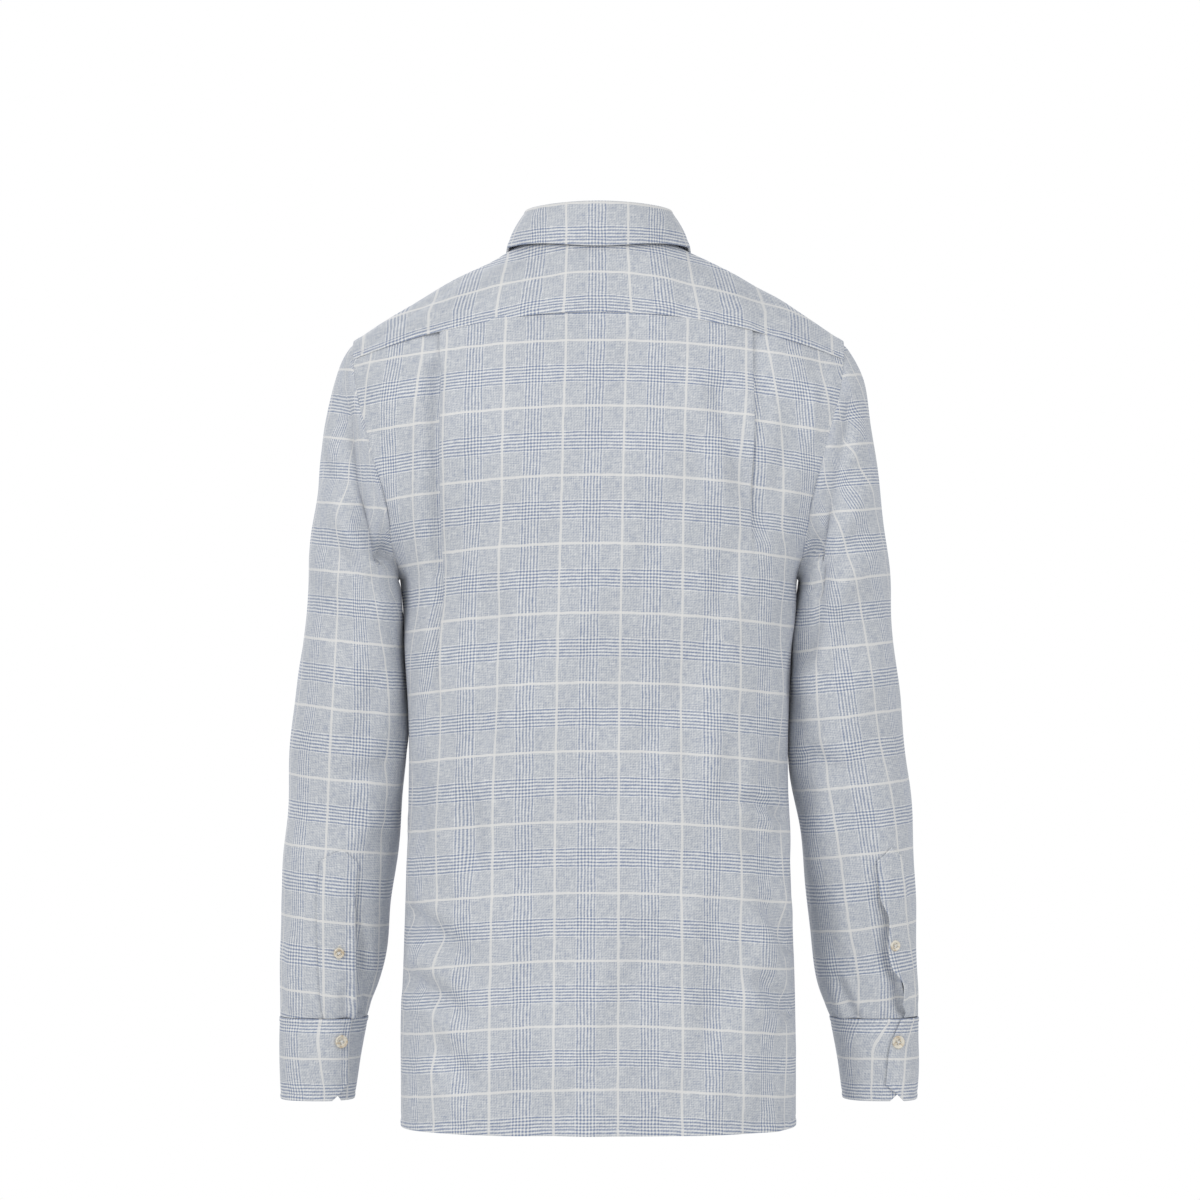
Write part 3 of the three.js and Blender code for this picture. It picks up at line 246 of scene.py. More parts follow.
SLEEVE_CREASES = {
    "left": (
        ("back", (223, -112), (211, -186), (183, -268), 10, -14.0, 0, 3.0, 0.25, 0.02),
        ("back", (240, -136), (228, -196), (200, -268), 8, 3.4, 0, 0, 0.3, 0.2),
        ("back", (242, -172), (214, -214), (177, -272), 10, -5.6, 2.4, 2.6, 0.35, 0.05),
        ("back", (248, -236), (220, -262), (182, -304), 13, -3.0, 1.6, 1.8, 0.4, 0.1),
        ("back", (206, -118), (194, -160), (184, -206), 7, -2.6, 1.2, 1.2, 0.2, 0.3),
        ("back", (184, -312), (194, -360), (190, -420), 12, -2.6, 1.0, 1.4, 0.3, 0.4),
        ("back", (258, -330), (248, -380), (256, -440), 15, -2.2, 1.2, 1.0, 0.4, 0.4),
        ("back", (178, -440), (206, -452), (238, -446), 10, -2.6, 1.4, 1.2, 0.1, 0.5),
        ("back", (180, -500), (202, -520), (220, -560), 11, -2.0, 1.2, 1.0, 0.1, 0.5),
        ("back", (198, -618), (200, -642), (203, -668), 3.6, -5.4, 1.4, 1.2, 0.45, 0),
        ("back", (216, -622), (219, -644), (221, -668), 6, -2.2, 1.0, 1.0, 0.5, 0),
        ("back", (276, -570), (277, -612), (277, -662), 5, -2.4, 0.8, 0.8, 0.4, 0.1),
        ("back", (206, -580), (205, -620), (207, -664), 5, -6.0, 1.0, 1.4, 0.4, 0),
        ("front", (230, -148), (206, -196), (182, -262), 12, -5.6, 2.2, 2.2, 0.3, 0.05),
        ("front", (252, -352), (226, -388), (186, -414), 13, -5.2, 2.4, 2.2, 0.4, 0.05),
        ("front", (250, -412), (222, -430), (184, -448), 10, -4.6, 2.0, 2.0, 0.4, 0.05),
        ("front", (256, -610), (252, -640), (250, -668), 6, -3.4, 1.2, 1.2, 0.5, 0),
        ("front", (232, -616), (230, -642), (228, -668), 6, -3.0, 1.0, 1.2, 0.5, 0),
    ),
    "right": (
        ("back", (219, -116), (208, -180), (182, -262), 9, -9.0, 0, 2.6, 0.25, 0.02),
        ("back", (199, -232), (188, -300), (172, -372), 10, -9.0, 2.0, 0, 0.3, 0.2),
        ("back", (236, -168), (208, -214), (178, -270), 10, -5.6, 2.2, 2.4, 0.35, 0.05),
        ("back", (240, -228), (212, -258), (180, -298), 12, -4.2, 2.0, 2.0, 0.4, 0.05),
        ("back", (186, -306), (196, -352), (186, -402), 12, -2.8, 1.2, 1.2, 0.3, 0.4),
        ("back", (254, -356), (246, -404), (252, -470), 15, -2.0, 1.0, 1.2, 0.4, 0.4),
        ("back", (176, -430), (204, -446), (236, -450), 10, -2.8, 1.4, 1.2, 0.1, 0.5),
        ("back", (240, -516), (241, -540), (240, -566), 5, -2.2, 1.0, 1.0, 0.5, 0.5),
        ("back", (272, -520), (275, -552), (277, -590), 6, -2.4, 1.0, 1.0, 0.4, 0.4),
        ("back", (200, -616), (211, -642), (225, -668), 5, -4.6, 1.6, 1.4, 0.45, 0),
        ("back", (186, -600), (196, -630), (206, -668), 5, -2.6, 1.0, 1.0, 0.5, 0),
        ("front", (232, -152), (206, -202), (184, -258), 12, -5.6, 2.2, 2.2, 0.3, 0.05),
        ("front", (254, -364), (224, -396), (186, -420), 13, -5.0, 2.2, 2.2, 0.4, 0.05),
        ("front", (250, -424), (220, -440), (184, -460), 10, -4.2, 2.0, 2.0, 0.4, 0.05),
        ("front", (250, -608), (246, -640), (244, -668), 6, -3.4, 1.2, 1.2, 0.5, 0),
        ("front", (226, -612), (225, -642), (226, -668), 6, -3.0, 1.2, 1.0, 0.5, 0),
    ),
}

# Slow undulation of the cloth: wavelength across and down in millimetres, phase, height
UNDULATION = (
    (83, 171, 0.4, 0.9),
    (-127, 96, 1.9, 0.8),
    (61, -143, 4.1, 0.62),
    (-47, -88, 2.6, 0.42),
    (212, 305, 5.2, 0.9),
    (39, 240, 0.9, 0.34),
)

BUTTON_SIZES = {"front": 11, "cuff": 11.5, "gauntlet": 9.5}
BUTTON_THICKNESS = 2.4
BUTTON_GAP = 0.4
BUTTON_HOLE = 0.9
BUTTON_HOLE_SPREAD = 1.7


class ShirtCloth(bpy.types.PropertyGroup):
    """Thickness and colours of the flannel."""

    thickness: FloatProperty(
        name="Cloth", description="Wall of one layer of cloth", default=1.2 * MM, min=0.5 * MM, max=3 * MM, unit="LENGTH"
    )
    double: FloatProperty(
        name="Double cloth",
        description="Wall of the collar and cuffs, with interlining",
        default=2 * MM,
        min=1 * MM,
        max=4 * MM,
        unit="LENGTH",
    )
    light: FloatVectorProperty(
        name="Light yarn", description="Lightest shade of the check", default=(0.88, 0.88, 0.87), subtype="COLOR"
    )
    plain: FloatVectorProperty(
        name="Ground", description="Shade of the plain squares", default=(0.555, 0.575, 0.61), subtype="COLOR"
    )
    dark: FloatVectorProperty(
        name="Dark yarn", description="Darkest shade of the check", default=(0.235, 0.285, 0.425), subtype="COLOR"
    )
    cream: FloatVectorProperty(
        name="Cream line", description="Lines between the ladders of the check", default=(0.84, 0.825, 0.8), subtype="COLOR"
    )
    thread: FloatVectorProperty(
        name="Thread", description="Sewing thread of the seams", default=(0.60, 0.63, 0.68), subtype="COLOR"
    )
    nap: FloatProperty(name="Nap", description="How strongly the brushed nap catches light", default=0.35, min=0, max=1)


class ShirtSewing(bpy.types.PropertyGroup):
    """Stitching and creases."""

    pitch: FloatProperty(
        name="Stitch pitch", description="Length from one stitch to the next", default=3 * MM, min=1.5 * MM, unit="LENGTH"
    )
    thread_width: FloatProperty(
        name="Thread width", description="Thickness of the sewing thread", default=0.5 * MM, min=0.1 * MM, unit="LENGTH"
    )
    creases: FloatProperty(name="Creases", description="Depth of the creases", default=1, min=0, max=2, subtype="FACTOR")


class ShirtButtons(bpy.types.PropertyGroup):
    """Colours of the buttons and their thread."""

    shell: FloatVectorProperty(
        name="Shell", description="Body of the buttons", default=(0.84, 0.78, 0.66), subtype="COLOR"
    )
    rim: FloatVectorProperty(
        name="Rim", description="Veins and rim of the buttons", default=(0.62, 0.50, 0.35), subtype="COLOR"
    )
    thread: FloatVectorProperty(
        name="Button thread", description="Thread of buttons and buttonholes", default=(0.82, 0.81, 0.78), subtype="COLOR"
    )


class ShirtStage(bpy.types.PropertyGroup):
    """Light and backdrop."""

    ambient: FloatProperty(name="Ambient", description="Light from all sides", default=0.62, min=0, max=2)
    key: FloatProperty(name="Key light", description="Power of the main light", default=32, min=0, unit="POWER")
    fill: FloatProperty(name="Fill light", description="Power of the side light", default=19, min=0, unit="POWER")


# Small helpers
def ease(value):
    """A smooth step from 0 to 1."""
    held = np.clip(value, 0, 1)
    return held**2 * (3 - 2 * held)


def mix(a, b, share):
    return a + (b - a) * share


def unit(vectors):
    return vectors / np.maximum(np.linalg.norm(vectors, axis=-1, keepdims=True), 1e-12)


def place(x, y, z):
    return np.stack(np.broadcast_arrays(x, y, z), axis=-1).astype(float)


def signed_power(value, power):
    return np.sign(value) * np.abs(value) ** power


def table_curve(rows, column, key=0):
    """A column of a table as a smooth function of its key, without overshoot."""
    data = np.array(rows, dtype=float)
    data = data[np.argsort(data[:, key])]
    keys, values = data[:, key], data[:, column]
    slopes = np.zeros(len(keys))
    before, after = values[1:-1] - values[:-2], values[2:] - values[1:-1]
    slopes[1:-1] = np.where(before * after > 0, (before + after) / (keys[2:] - keys[:-2]), 0)

    def at(value):
        held = np.clip(np.asarray(value, dtype=float), keys[0], keys[-1])
        k = np.clip(np.searchsorted(keys, held, side="right") - 1, 0, len(keys) - 2)
        span = keys[k + 1] - keys[k]
        t = (held - keys[k]) / span
        start = values[k] * (2 * t**3 - 3 * t**2 + 1) + slopes[k] * span * (t**3 - 2 * t**2 + t)
        return start + values[k + 1] * (3 * t**2 - 2 * t**3) + slopes[k + 1] * span * (t**3 - t**2)

    return at


half_width_at = table_curve(BODY, 1)
depth_at = {"back": table_curve(BODY, 2), "front": table_curve(BODY, 3)}
square_at = table_curve(BODY, 4)
armhole_x_at = table_curve(ARMHOLE_LEAN, 1)
collar_reach_at = table_curve(COLLAR_EDGE, 1)
sleeve_columns = [table_curve([(k, *row) for k, row in enumerate(SLEEVE)], c + 1) for c in range(6)]
pleat_under = {side: table_curve(rows, 1) for side, (_, rows) in PLEATS.items()}
pleat_turn = {side: table_curve(rows, 2) for side, (_, rows) in PLEATS.items()}
back_ladder_x = table_curve(BACK_LADDER, 1)
back_repeat = table_curve(BACK_LADDER, 2)
sleeve_line_x = {side: table_curve(rows, 1) for side, rows in SLEEVE_LINE.items()}
right_gauntlet_edge = table_curve(RIGHT_GAUNTLET_EDGE, 1)
cuff_edge = {side: table_curve(rows, 1) for side, rows in CUFF_EDGE.items()}


# Seam lines and surfaces of the left side
def armhole(degrees):
    """Round the armhole: 0 at its top, 90 behind, 180 under the arm."""
    turn = np.radians(degrees)
    z = ARMHOLE_Z + ARMHOLE_HALF_HEIGHT * np.cos(turn)
    return place(armhole_x_at(z), SIDE_SEAM_Y + ARMHOLE_HALF_DEPTH * np.sin(turn), z)


def neck(degrees):
    """Round the neck seam: 90 behind, 0 at the side, -90 in front."""
    s = np.sin(np.radians(degrees))
    fall = np.where(s > 0, NECK["back_z"], NECK_FRONT_Z)
    share = np.where(s > 0, s**2, np.abs(s) ** NECK["power"])
    x = NECK["half_width"] * np.cos(np.radians(degrees))
    return place(x, NECK["y"] + NECK["half_depth"] * s, mix(NECK["side_z"], fall, share))


def row_end(z, side):
    """The outer end of a body row: the side seam, or the armhole above it."""
    top_z = BACK_YOKE_Z if side == "back" else NECK_FRONT_Z
    corner = YOKE_CORNER[side]
    share = np.clip((z - UNDERARM_Z) / (top_z - UNDERARM_Z), 0, 1)
    on_armhole = armhole(mix(math.copysign(180, corner), corner, share))
    on_side = place(half_width_at(z), SIDE_SEAM_Y, z)
    return np.where((z <= UNDERARM_Z)[..., None], on_side, on_armhole)


def body_row(z, share, side):
    """A row of the body from the middle to its outer end, a quarter of a squared oval."""
    z, share = np.broadcast_arrays(np.asarray(z, dtype=float), np.asarray(share, dtype=float))
    end = row_end(z, side)
    depth, power = depth_at[side](z), square_at(z)
    end_depth = np.abs(end[..., 1] - SIDE_SEAM_Y) / depth
    half_width = end[..., 0] / (1 - end_depth**power) ** (1 / power)
    turn = np.arccos(end_depth ** (power / 2)) * share
    x = half_width * np.sin(turn) ** (2 / power)
    y = depth * np.maximum(np.cos(turn), 0) ** (2 / power)
    drop = (end[..., 2] - z) * (x / end[..., 0]) ** YOKE_SEAM_DROP_POWER
    return place(x, SIDE_SEAM_Y + (y if side == "back" else -y), z + drop)


ROW_SHARES = np.linspace(0, 1, 161)


def row_lengths(z, side):
    """Lengths and x along a body row, at ROW_SHARES."""
    points = body_row(z, ROW_SHARES, side)
    lengths = np.concatenate([[0], np.cumsum(np.linalg.norm(np.diff(points, axis=0), axis=1))])
    return points[:, 0], lengths


def yoke_line(degrees, outer, share):
    """A line of the yoke from the neck to its outer edge, a little crowned."""
    line = mix(neck(degrees), outer, share[..., None])
    lean = place(0.25, 0.45 * np.sin(np.radians(degrees)), 0.86)
    return line + unit(lean) * (YOKE_BULGE * np.sin(np.pi * share))[..., None]


def yoke_outer(degrees):
    """The outer end of the yoke's line that starts at these degrees round the neck."""
    _, lengths = row_lengths(BACK_YOKE_Z, "back")
    t = np.clip((90 - degrees) / (90 - YOKE_NECK["back"]), 0, 1)
    behind = body_row(BACK_YOKE_Z, np.interp(t * lengths[-1], lengths, ROW_SHARES), "back")
    t = (YOKE_NECK["back"] - degrees) / (YOKE_NECK["back"] - YOKE_NECK["front"])
    beside = armhole(mix(YOKE_CORNER["back"], YOKE_CORNER["front"], t))
    return np.where((degrees >= YOKE_NECK["back"])[..., None], behind, beside)


def yoke_point(degrees, share):
    degrees, share = np.broadcast_arrays(np.asarray(degrees, dtype=float), np.asarray(share, dtype=float))
    return yoke_line(degrees, yoke_outer(degrees), share)


def front_top(share):
    """The top edge of a front: the neckline, then the front yoke seam."""
    on_neck = neck(mix(-90, YOKE_NECK["front"], np.minimum(share / NECKLINE_SHARE, 1)))
    along = np.maximum((share - NECKLINE_SHARE) / (1 - NECKLINE_SHARE), 0)
    start = np.full_like(share, YOKE_NECK["front"])
    on_seam = yoke_line(start, armhole(YOKE_CORNER["front"]), along)
    return np.where((share < NECKLINE_SHARE)[..., None], on_neck, on_seam)


def front_base(z, share):
    """The front's surface without folds."""
    z, share = np.broadcast_arrays(np.asarray(z, dtype=float), np.asarray(share, dtype=float))
    reach = np.clip((z - NECKLINE_REACH_Z) / (NECK_FRONT_Z - NECKLINE_REACH_Z), 0, 1) ** 2
    shift = front_top(share) - body_row(NECK_FRONT_Z, share, "front")
    return body_row(z, share, "front") + shift * reach[..., None]


def ring_point(columns, degrees):
    """A point of a ring from its outer edge by way of the back to its inner edge."""
    outer_x, outer_z, inner_x, inner_z, middle_y, half_depth = columns
    across = signed_power(np.cos(np.radians(degrees)), 2 / SLEEVE_SQUARE)
    deep = signed_power(np.sin(np.radians(degrees)), 2 / SLEEVE_SQUARE)
    x = (outer_x + inner_x) / 2 + (outer_x - inner_x) / 2 * across
    z = (outer_z + inner_z) / 2 + (outer_z - inner_z) / 2 * across
    return place(x, middle_y + half_depth * deep, z)


def sleeve_base(at, degrees):
    at, degrees = np.broadcast_arrays(np.asarray(at, dtype=float), np.asarray(degrees, dtype=float))
    placed = ring_point([column(at) for column in sleeve_columns], degrees)
    fade = np.clip(1 - at / ARMHOLE_FADE, 0, 1) ** 2
    shift = armhole(degrees) - ring_point(SLEEVE[0], degrees)
    return placed + shift * fade[..., None]


def sleeve_row_at(z):
    """The row of a sleeve whose outer edge is at this height."""
    outer_z = np.array([row[1] for row in SLEEVE], dtype=float)
    return np.interp(-np.asarray(z, dtype=float), -outer_z, np.arange(len(SLEEVE)))


# Nets of points
def net_normals(net, towards, closed=False):
    """Unit normals of a net, on the side of the given direction."""
    if closed:
        net = np.concatenate([net[:, -2:-1], net, net[:, 1:2]], axis=1)
    normals = unit(np.cross(np.gradient(net, axis=1), np.gradient(net, axis=0)))
    if closed:
        normals = normals[:, 1:-1]
    return normals * (1 if np.sum(normals * towards) > 0 else -1)


def from_middle(net, middle):
    """Level direction away from an upright axis through the net."""
    away = net - np.array(middle, dtype=float)
    away[..., 2] = 0
    return away


def crease_heights(creases, net, normals):
    """The height of the listed creases at each point of a net."""
    total = np.zeros(net.shape[:2])
    spots = net[..., [0, 2]]
    for face, start, middle, end, width, depth, left, right, fade_in, fade_out in creases:
        facing = ease((normals[..., 1] if face == "back" else -normals[..., 1]) / 0.4)
        a, b, c = (np.array(p, dtype=float) for p in (start, middle, end))
        bend = 2 * b - (a + c) / 2
        t = np.linspace(0, 1, 25)[:, None]
        line = a * (1 - t) ** 2 + 2 * bend * t * (1 - t) + c * t**2
        near = np.all(np.abs(spots - b) < np.abs(c - a) / 2 + 5 * width + 12, axis=-1) & (facing > 0)
        if not near.any():
            continue
        spot = spots[near][:, None]
        runs = line[1:] - line[:-1]
        along = np.clip(np.sum((spot - line[:-1]) * runs, axis=-1) / np.sum(runs**2, axis=-1), 0, 1)
        offset = spot - line[:-1] - runs * along[..., None]
        distance = np.linalg.norm(offset, axis=-1)
        nearest = np.argmin(distance, axis=1)
        pick = np.arange(len(nearest))
        run, gap = runs[nearest], offset[pick, nearest]
        side = np.sign(run[:, 0] * gap[:, 1] - run[:, 1] * gap[:, 0])
        away = side * distance[pick, nearest] / width
        done = (nearest + along[pick, nearest]) / len(runs)
        strength = ease(done / max(fade_in, 1e-6)) * ease((1 - done) / max(fade_out, 1e-6))
        shape = depth * np.exp(-(away**2))
        shape = shape + left * np.exp(-((away - 1.7) ** 2)) + right * np.exp(-((away + 1.7) ** 2))
        total[near] += facing[near] * strength * shape
    return total


def undulation(net, seed):
    """A slow unevenness of hanging cloth."""
    x, y, z = net[..., 0], net[..., 1], net[..., 2]
    total = np.zeros(net.shape[:2])
    for across, down, phase, height in UNDULATION:
        total += height * np.sin(2 * np.pi * ((x + 0.6 * y) / across + z / down) + phase + seed)
    return total


def lifted(net, normals, height):
    return net + normals * np.asarray(height)[..., None]


def row_sums(net, axis=1):
    """Length from the first point along each row or column."""
    steps = np.linalg.norm(np.diff(net, axis=axis), axis=-1)
    start = np.zeros_like(np.take(steps, [0], axis=axis))
    return np.concatenate([start, np.cumsum(steps, axis=axis)], axis=axis)


def hem_roll(distance, inset, height=0.45):
    """A turned hem: full at the edge and drawn in along its stitching."""
    full = height * np.exp(-((np.asarray(distance) - inset * 0.45) ** 2) / (0.4 * inset) ** 2)
    return full - height * np.exp(-((np.asarray(distance) - inset) ** 2) / 1.6**2)


def levels_between(low, high, step, fine=(0, 1.2, 2.6, 4.2, 6, 7.2, 8.6, 10.4)):
    """Heights with fine steps near the lower edge."""
    start = low + np.array(fine, dtype=float)
    rest = np.linspace(start[-1] + step, high, max(2, round((high - start[-1]) / step)))
    return np.concatenate([start, rest])


def mirrored(net):
    return net * np.array([-1.0, 1.0, 1.0])


# Cloth pieces
def cloth_piece(name, net, weave, towards, thickness, node, closed=False, cut=None):
    """A wall of cloth from a net of points in millimetres, with its weave in a UV map in metres."""
    rows, columns = net.shape[:2]
    bm = bmesh.new()
    bmesh.ops.create_grid(bm, x_segments=columns - 1, y_segments=rows - 1, size=1)
    bm.verts.ensure_lookup_table()
    spots = []
    for vert in bm.verts:
        r = round((vert.co.y + 1) / 2 * (rows - 1))
        c = round((vert.co.x + 1) / 2 * (columns - 1))
        spots.append((r, c))
    points = net * MM
    for vert, (r, c) in zip(bm.verts, spots):
        vert.co = points[r, c]
    uv = bm.loops.layers.uv.new("cloth")
    woven = weave * MM
    removed = []
    turned = 0.0
    bm.normal_update()
    for face in bm.faces:
        face.smooth = True
        spread = []
        for loop in face.loops:
            r, c = spots[loop.vert.index]
            loop[uv].uv = woven[r, c]
            spread.append(c)
        turned += float(face.normal.dot(Vector(towards[r, c])))
        if cut is not None and min(spread) == cut:
            removed.append(face)
    if removed:
        bmesh.ops.delete(bm, geom=removed, context="FACES_ONLY")
    if closed:
        bmesh.ops.remove_doubles(bm, verts=bm.verts, dist=0.01 * MM)
        loose = [vert for vert in bm.verts if not vert.link_faces]
        if loose:
            bmesh.ops.delete(bm, geom=loose, context="VERTS")
    if turned < 0:
        bmesh.ops.reverse_faces(bm, faces=bm.faces)
    mesh = bpy.data.meshes.new(name)
    bm.to_mesh(mesh)
    bm.free()
    piece = bpy.data.objects.new(name, mesh)
    bpy.context.scene.collection.objects.link(piece)
    mesh.materials.append(flannel_material())
    wall = piece.modifiers.new("Wall", "SOLIDIFY")
    wall.thickness = thickness
    wall.offset = 0
    wall.use_rim = True
    rounding = piece.modifiers.new("Rounded edges", "BEVEL")
    rounding.width = thickness * 0.32
    rounding.segments = 2
    rounding.limit_method = "ANGLE"
    rounding.angle_limit = math.radians(55)
    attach(piece, "root")
    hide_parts(node)
    return piece


def stitching(name, lines):
    """Short raised stitches along lines of points and normals in millimetres."""
    sewing = bpy.context.scene.shirt_sewing
    pitch, half = sewing.pitch / MM, sewing.thread_width / MM / 2
    bm = bmesh.new()
    for points, normals in lines:
        lengths = row_sums(points[None])[0]
        if lengths[-1] < pitch:
            continue
        count = max(1, int(lengths[-1] / pitch))
        for k in range(count):
            ends = (np.array([0.14, 0.5, 0.86]) + k) * lengths[-1] / count
            a, middle, b = (np.array([np.interp(s, lengths, points[:, i]) for i in range(3)]) for s in ends)
            up = unit(np.array([np.interp(ends[1], lengths, normals[:, i]) for i in range(3)]))
            along = unit(b - a)
            across = unit(np.cross(up, along))
            up = np.cross(along, across)
            turn = Matrix(np.column_stack([along, across, up]).tolist()).to_4x4()
            size = Matrix.Diagonal((np.linalg.norm(b - a) / 2 * MM, half * MM, half * 0.8 * MM, 1))
            matrix = Matrix.Translation(Vector(middle) * MM) @ turn @ size
            bmesh.ops.create_icosphere(bm, subdivisions=1, radius=1, matrix=matrix)
    for face in bm.faces:
        face.smooth = True
    mesh = bpy.data.meshes.new(name)
    bm.to_mesh(mesh)
    bm.free()
    piece = bpy.data.objects.new(name, mesh)
    bpy.context.scene.collection.objects.link(piece)
    mesh.materials.append(thread_material("Seam thread", bpy.context.scene.shirt_cloth.thread))
    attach(piece, "root")
    return piece


def inset_line(net, normals, thickness, row=None, column=None, start=0, stop=None):
    """A line on the outer face of a net, along a fractional row or column."""
    if row is not None:
        low = int(row)
        high, t = min(low + 1, net.shape[0] - 1), row - low
        line = mix(net[low], net[high], t)
        up = mix(normals[low], normals[high], t)
    else:
        low = int(column)
        high, t = min(low + 1, net.shape[1] - 1), column - low
        line = mix(net[:, low], net[:, high], t)
        up = mix(normals[:, low], normals[:, high], t)
    line, up = line[start:stop], unit(up[start:stop])
    return line + up * (thickness / 2 + 0.05), up


def line_in(net, normals, thickness, inset, edge):
    """A line on the outer face, this far in from an edge of the net."""
    if edge in ("first_row", "last_row"):
        work, work_up = net, normals
    else:
        work, work_up = net.transpose(1, 0, 2), normals.transpose(1, 0, 2)
    if edge.startswith("last"):
        work, work_up = work[::-1], work_up[::-1]
    sums = row_sums(work, axis=0)
    line, up = [], []
    for c in range(work.shape[1]):
        line.append([np.interp(inset, sums[:, c], work[:, c, i]) for i in range(3)])
        up.append([np.interp(inset, sums[:, c], work_up[:, c, i]) for i in range(3)])
    up = unit(np.array(up))
    return np.array(line) + up * (thickness / 2 + 0.05), up


# Materials
class Nodes:
    """Adds shader nodes to a material, left to right."""

    def __init__(self, name):
        self.material = bpy.data.materials.new(name)
        self.material.use_nodes = True
        self.tree = self.material.node_tree
        self.tree.nodes.clear()

    def add(self, kind, **settings):
        node = self.tree.nodes.new(kind)
        for key, value in settings.items():
            setattr(node, key, value)
        return node

    def wire(self, source, target):
        if isinstance(source, (int, float, tuple)):
            target.default_value = source
        else:
            self.tree.links.new(source, target)

    def math(self, operation, a, b=None, c=None, clamp=False):
        node = self.add("ShaderNodeMath", operation=operation, use_clamp=clamp)
        for k, value in enumerate((a, b, c)):
            if value is not None:
                self.wire(value, node.inputs[k])
        return node.outputs[0]

    def blend(self, factor, a, b, kind="MIX"):
        node = self.add("ShaderNodeMix", data_type="RGBA", blend_type=kind)
        self.wire(factor, node.inputs[0])
        self.wire(a, node.inputs[6])
        self.wire(b, node.inputs[7])
        return node.outputs[2]


def opaque(colour):
    return (colour[0], colour[1], colour[2], 1.0)


LADDER_HALF = 8.5  # half the width of a ladder of the check
YARN_PAIR = 2.8  # one dark and one light line of a ladder
FINE_PAIR = 1.4  # the small check of the plain squares
CREAM_HALF = 1.05
EDGE_SOFT = 0.35
SLUB_LENGTH = 9
SLUB_WIDTH = 0.9


def check_wave(n, along, repeat):
    """One direction of the check: the ladder's lines, or the faint small check beside them."""
    held = n.math("PINGPONG", along, repeat / 2 * MM)
    off = n.math("SUBTRACT", repeat / 2 * MM, held)
    turns = n.math("MULTIPLY", off, 2 * math.pi / (YARN_PAIR * MM))
    wave = n.math("COSINE", turns)
    lines = n.math("MULTIPLY_ADD", wave, -1.1, 0.5, clamp=True)
    fine_turns = n.math("MULTIPLY", along, 2 * math.pi / (FINE_PAIR * MM))
    fine = n.math("MULTIPLY_ADD", n.math("COSINE", fine_turns), 0.13, 0.47)
    inside = n.math("SUBTRACT", LADDER_HALF * MM, off)
    mask = n.math("MULTIPLY_ADD", inside, 1 / (EDGE_SOFT * MM), 0.5, clamp=True)
    shade = n.add("ShaderNodeMix", data_type="FLOAT")
    n.wire(mask, shade.inputs[0])
    n.wire(fine, shade.inputs[2])
    n.wire(lines, shade.inputs[3])
    near = n.math("SUBTRACT", CREAM_HALF * MM, held)
    cream = n.math("MULTIPLY_ADD", near, 1 / (EDGE_SOFT * MM), 0.5, clamp=True)
    return shade.outputs[0], cream


def slubs(n, spot, length_across, length_down):
    """Uneven yarns: noise drawn out along one direction of the weave."""
    stretched = n.add("ShaderNodeVectorMath", operation="DIVIDE")
    n.wire(spot, stretched.inputs[0])
    stretched.inputs[1].default_value = (length_across * MM, length_down * MM, 1)
    noise = n.add("ShaderNodeTexNoise", noise_dimensions="2D")
    n.wire(stretched.outputs[0], noise.inputs["Vector"])
    noise.inputs["Scale"].default_value = 1
    noise.inputs["Detail"].default_value = 2
    return noise.outputs[0]


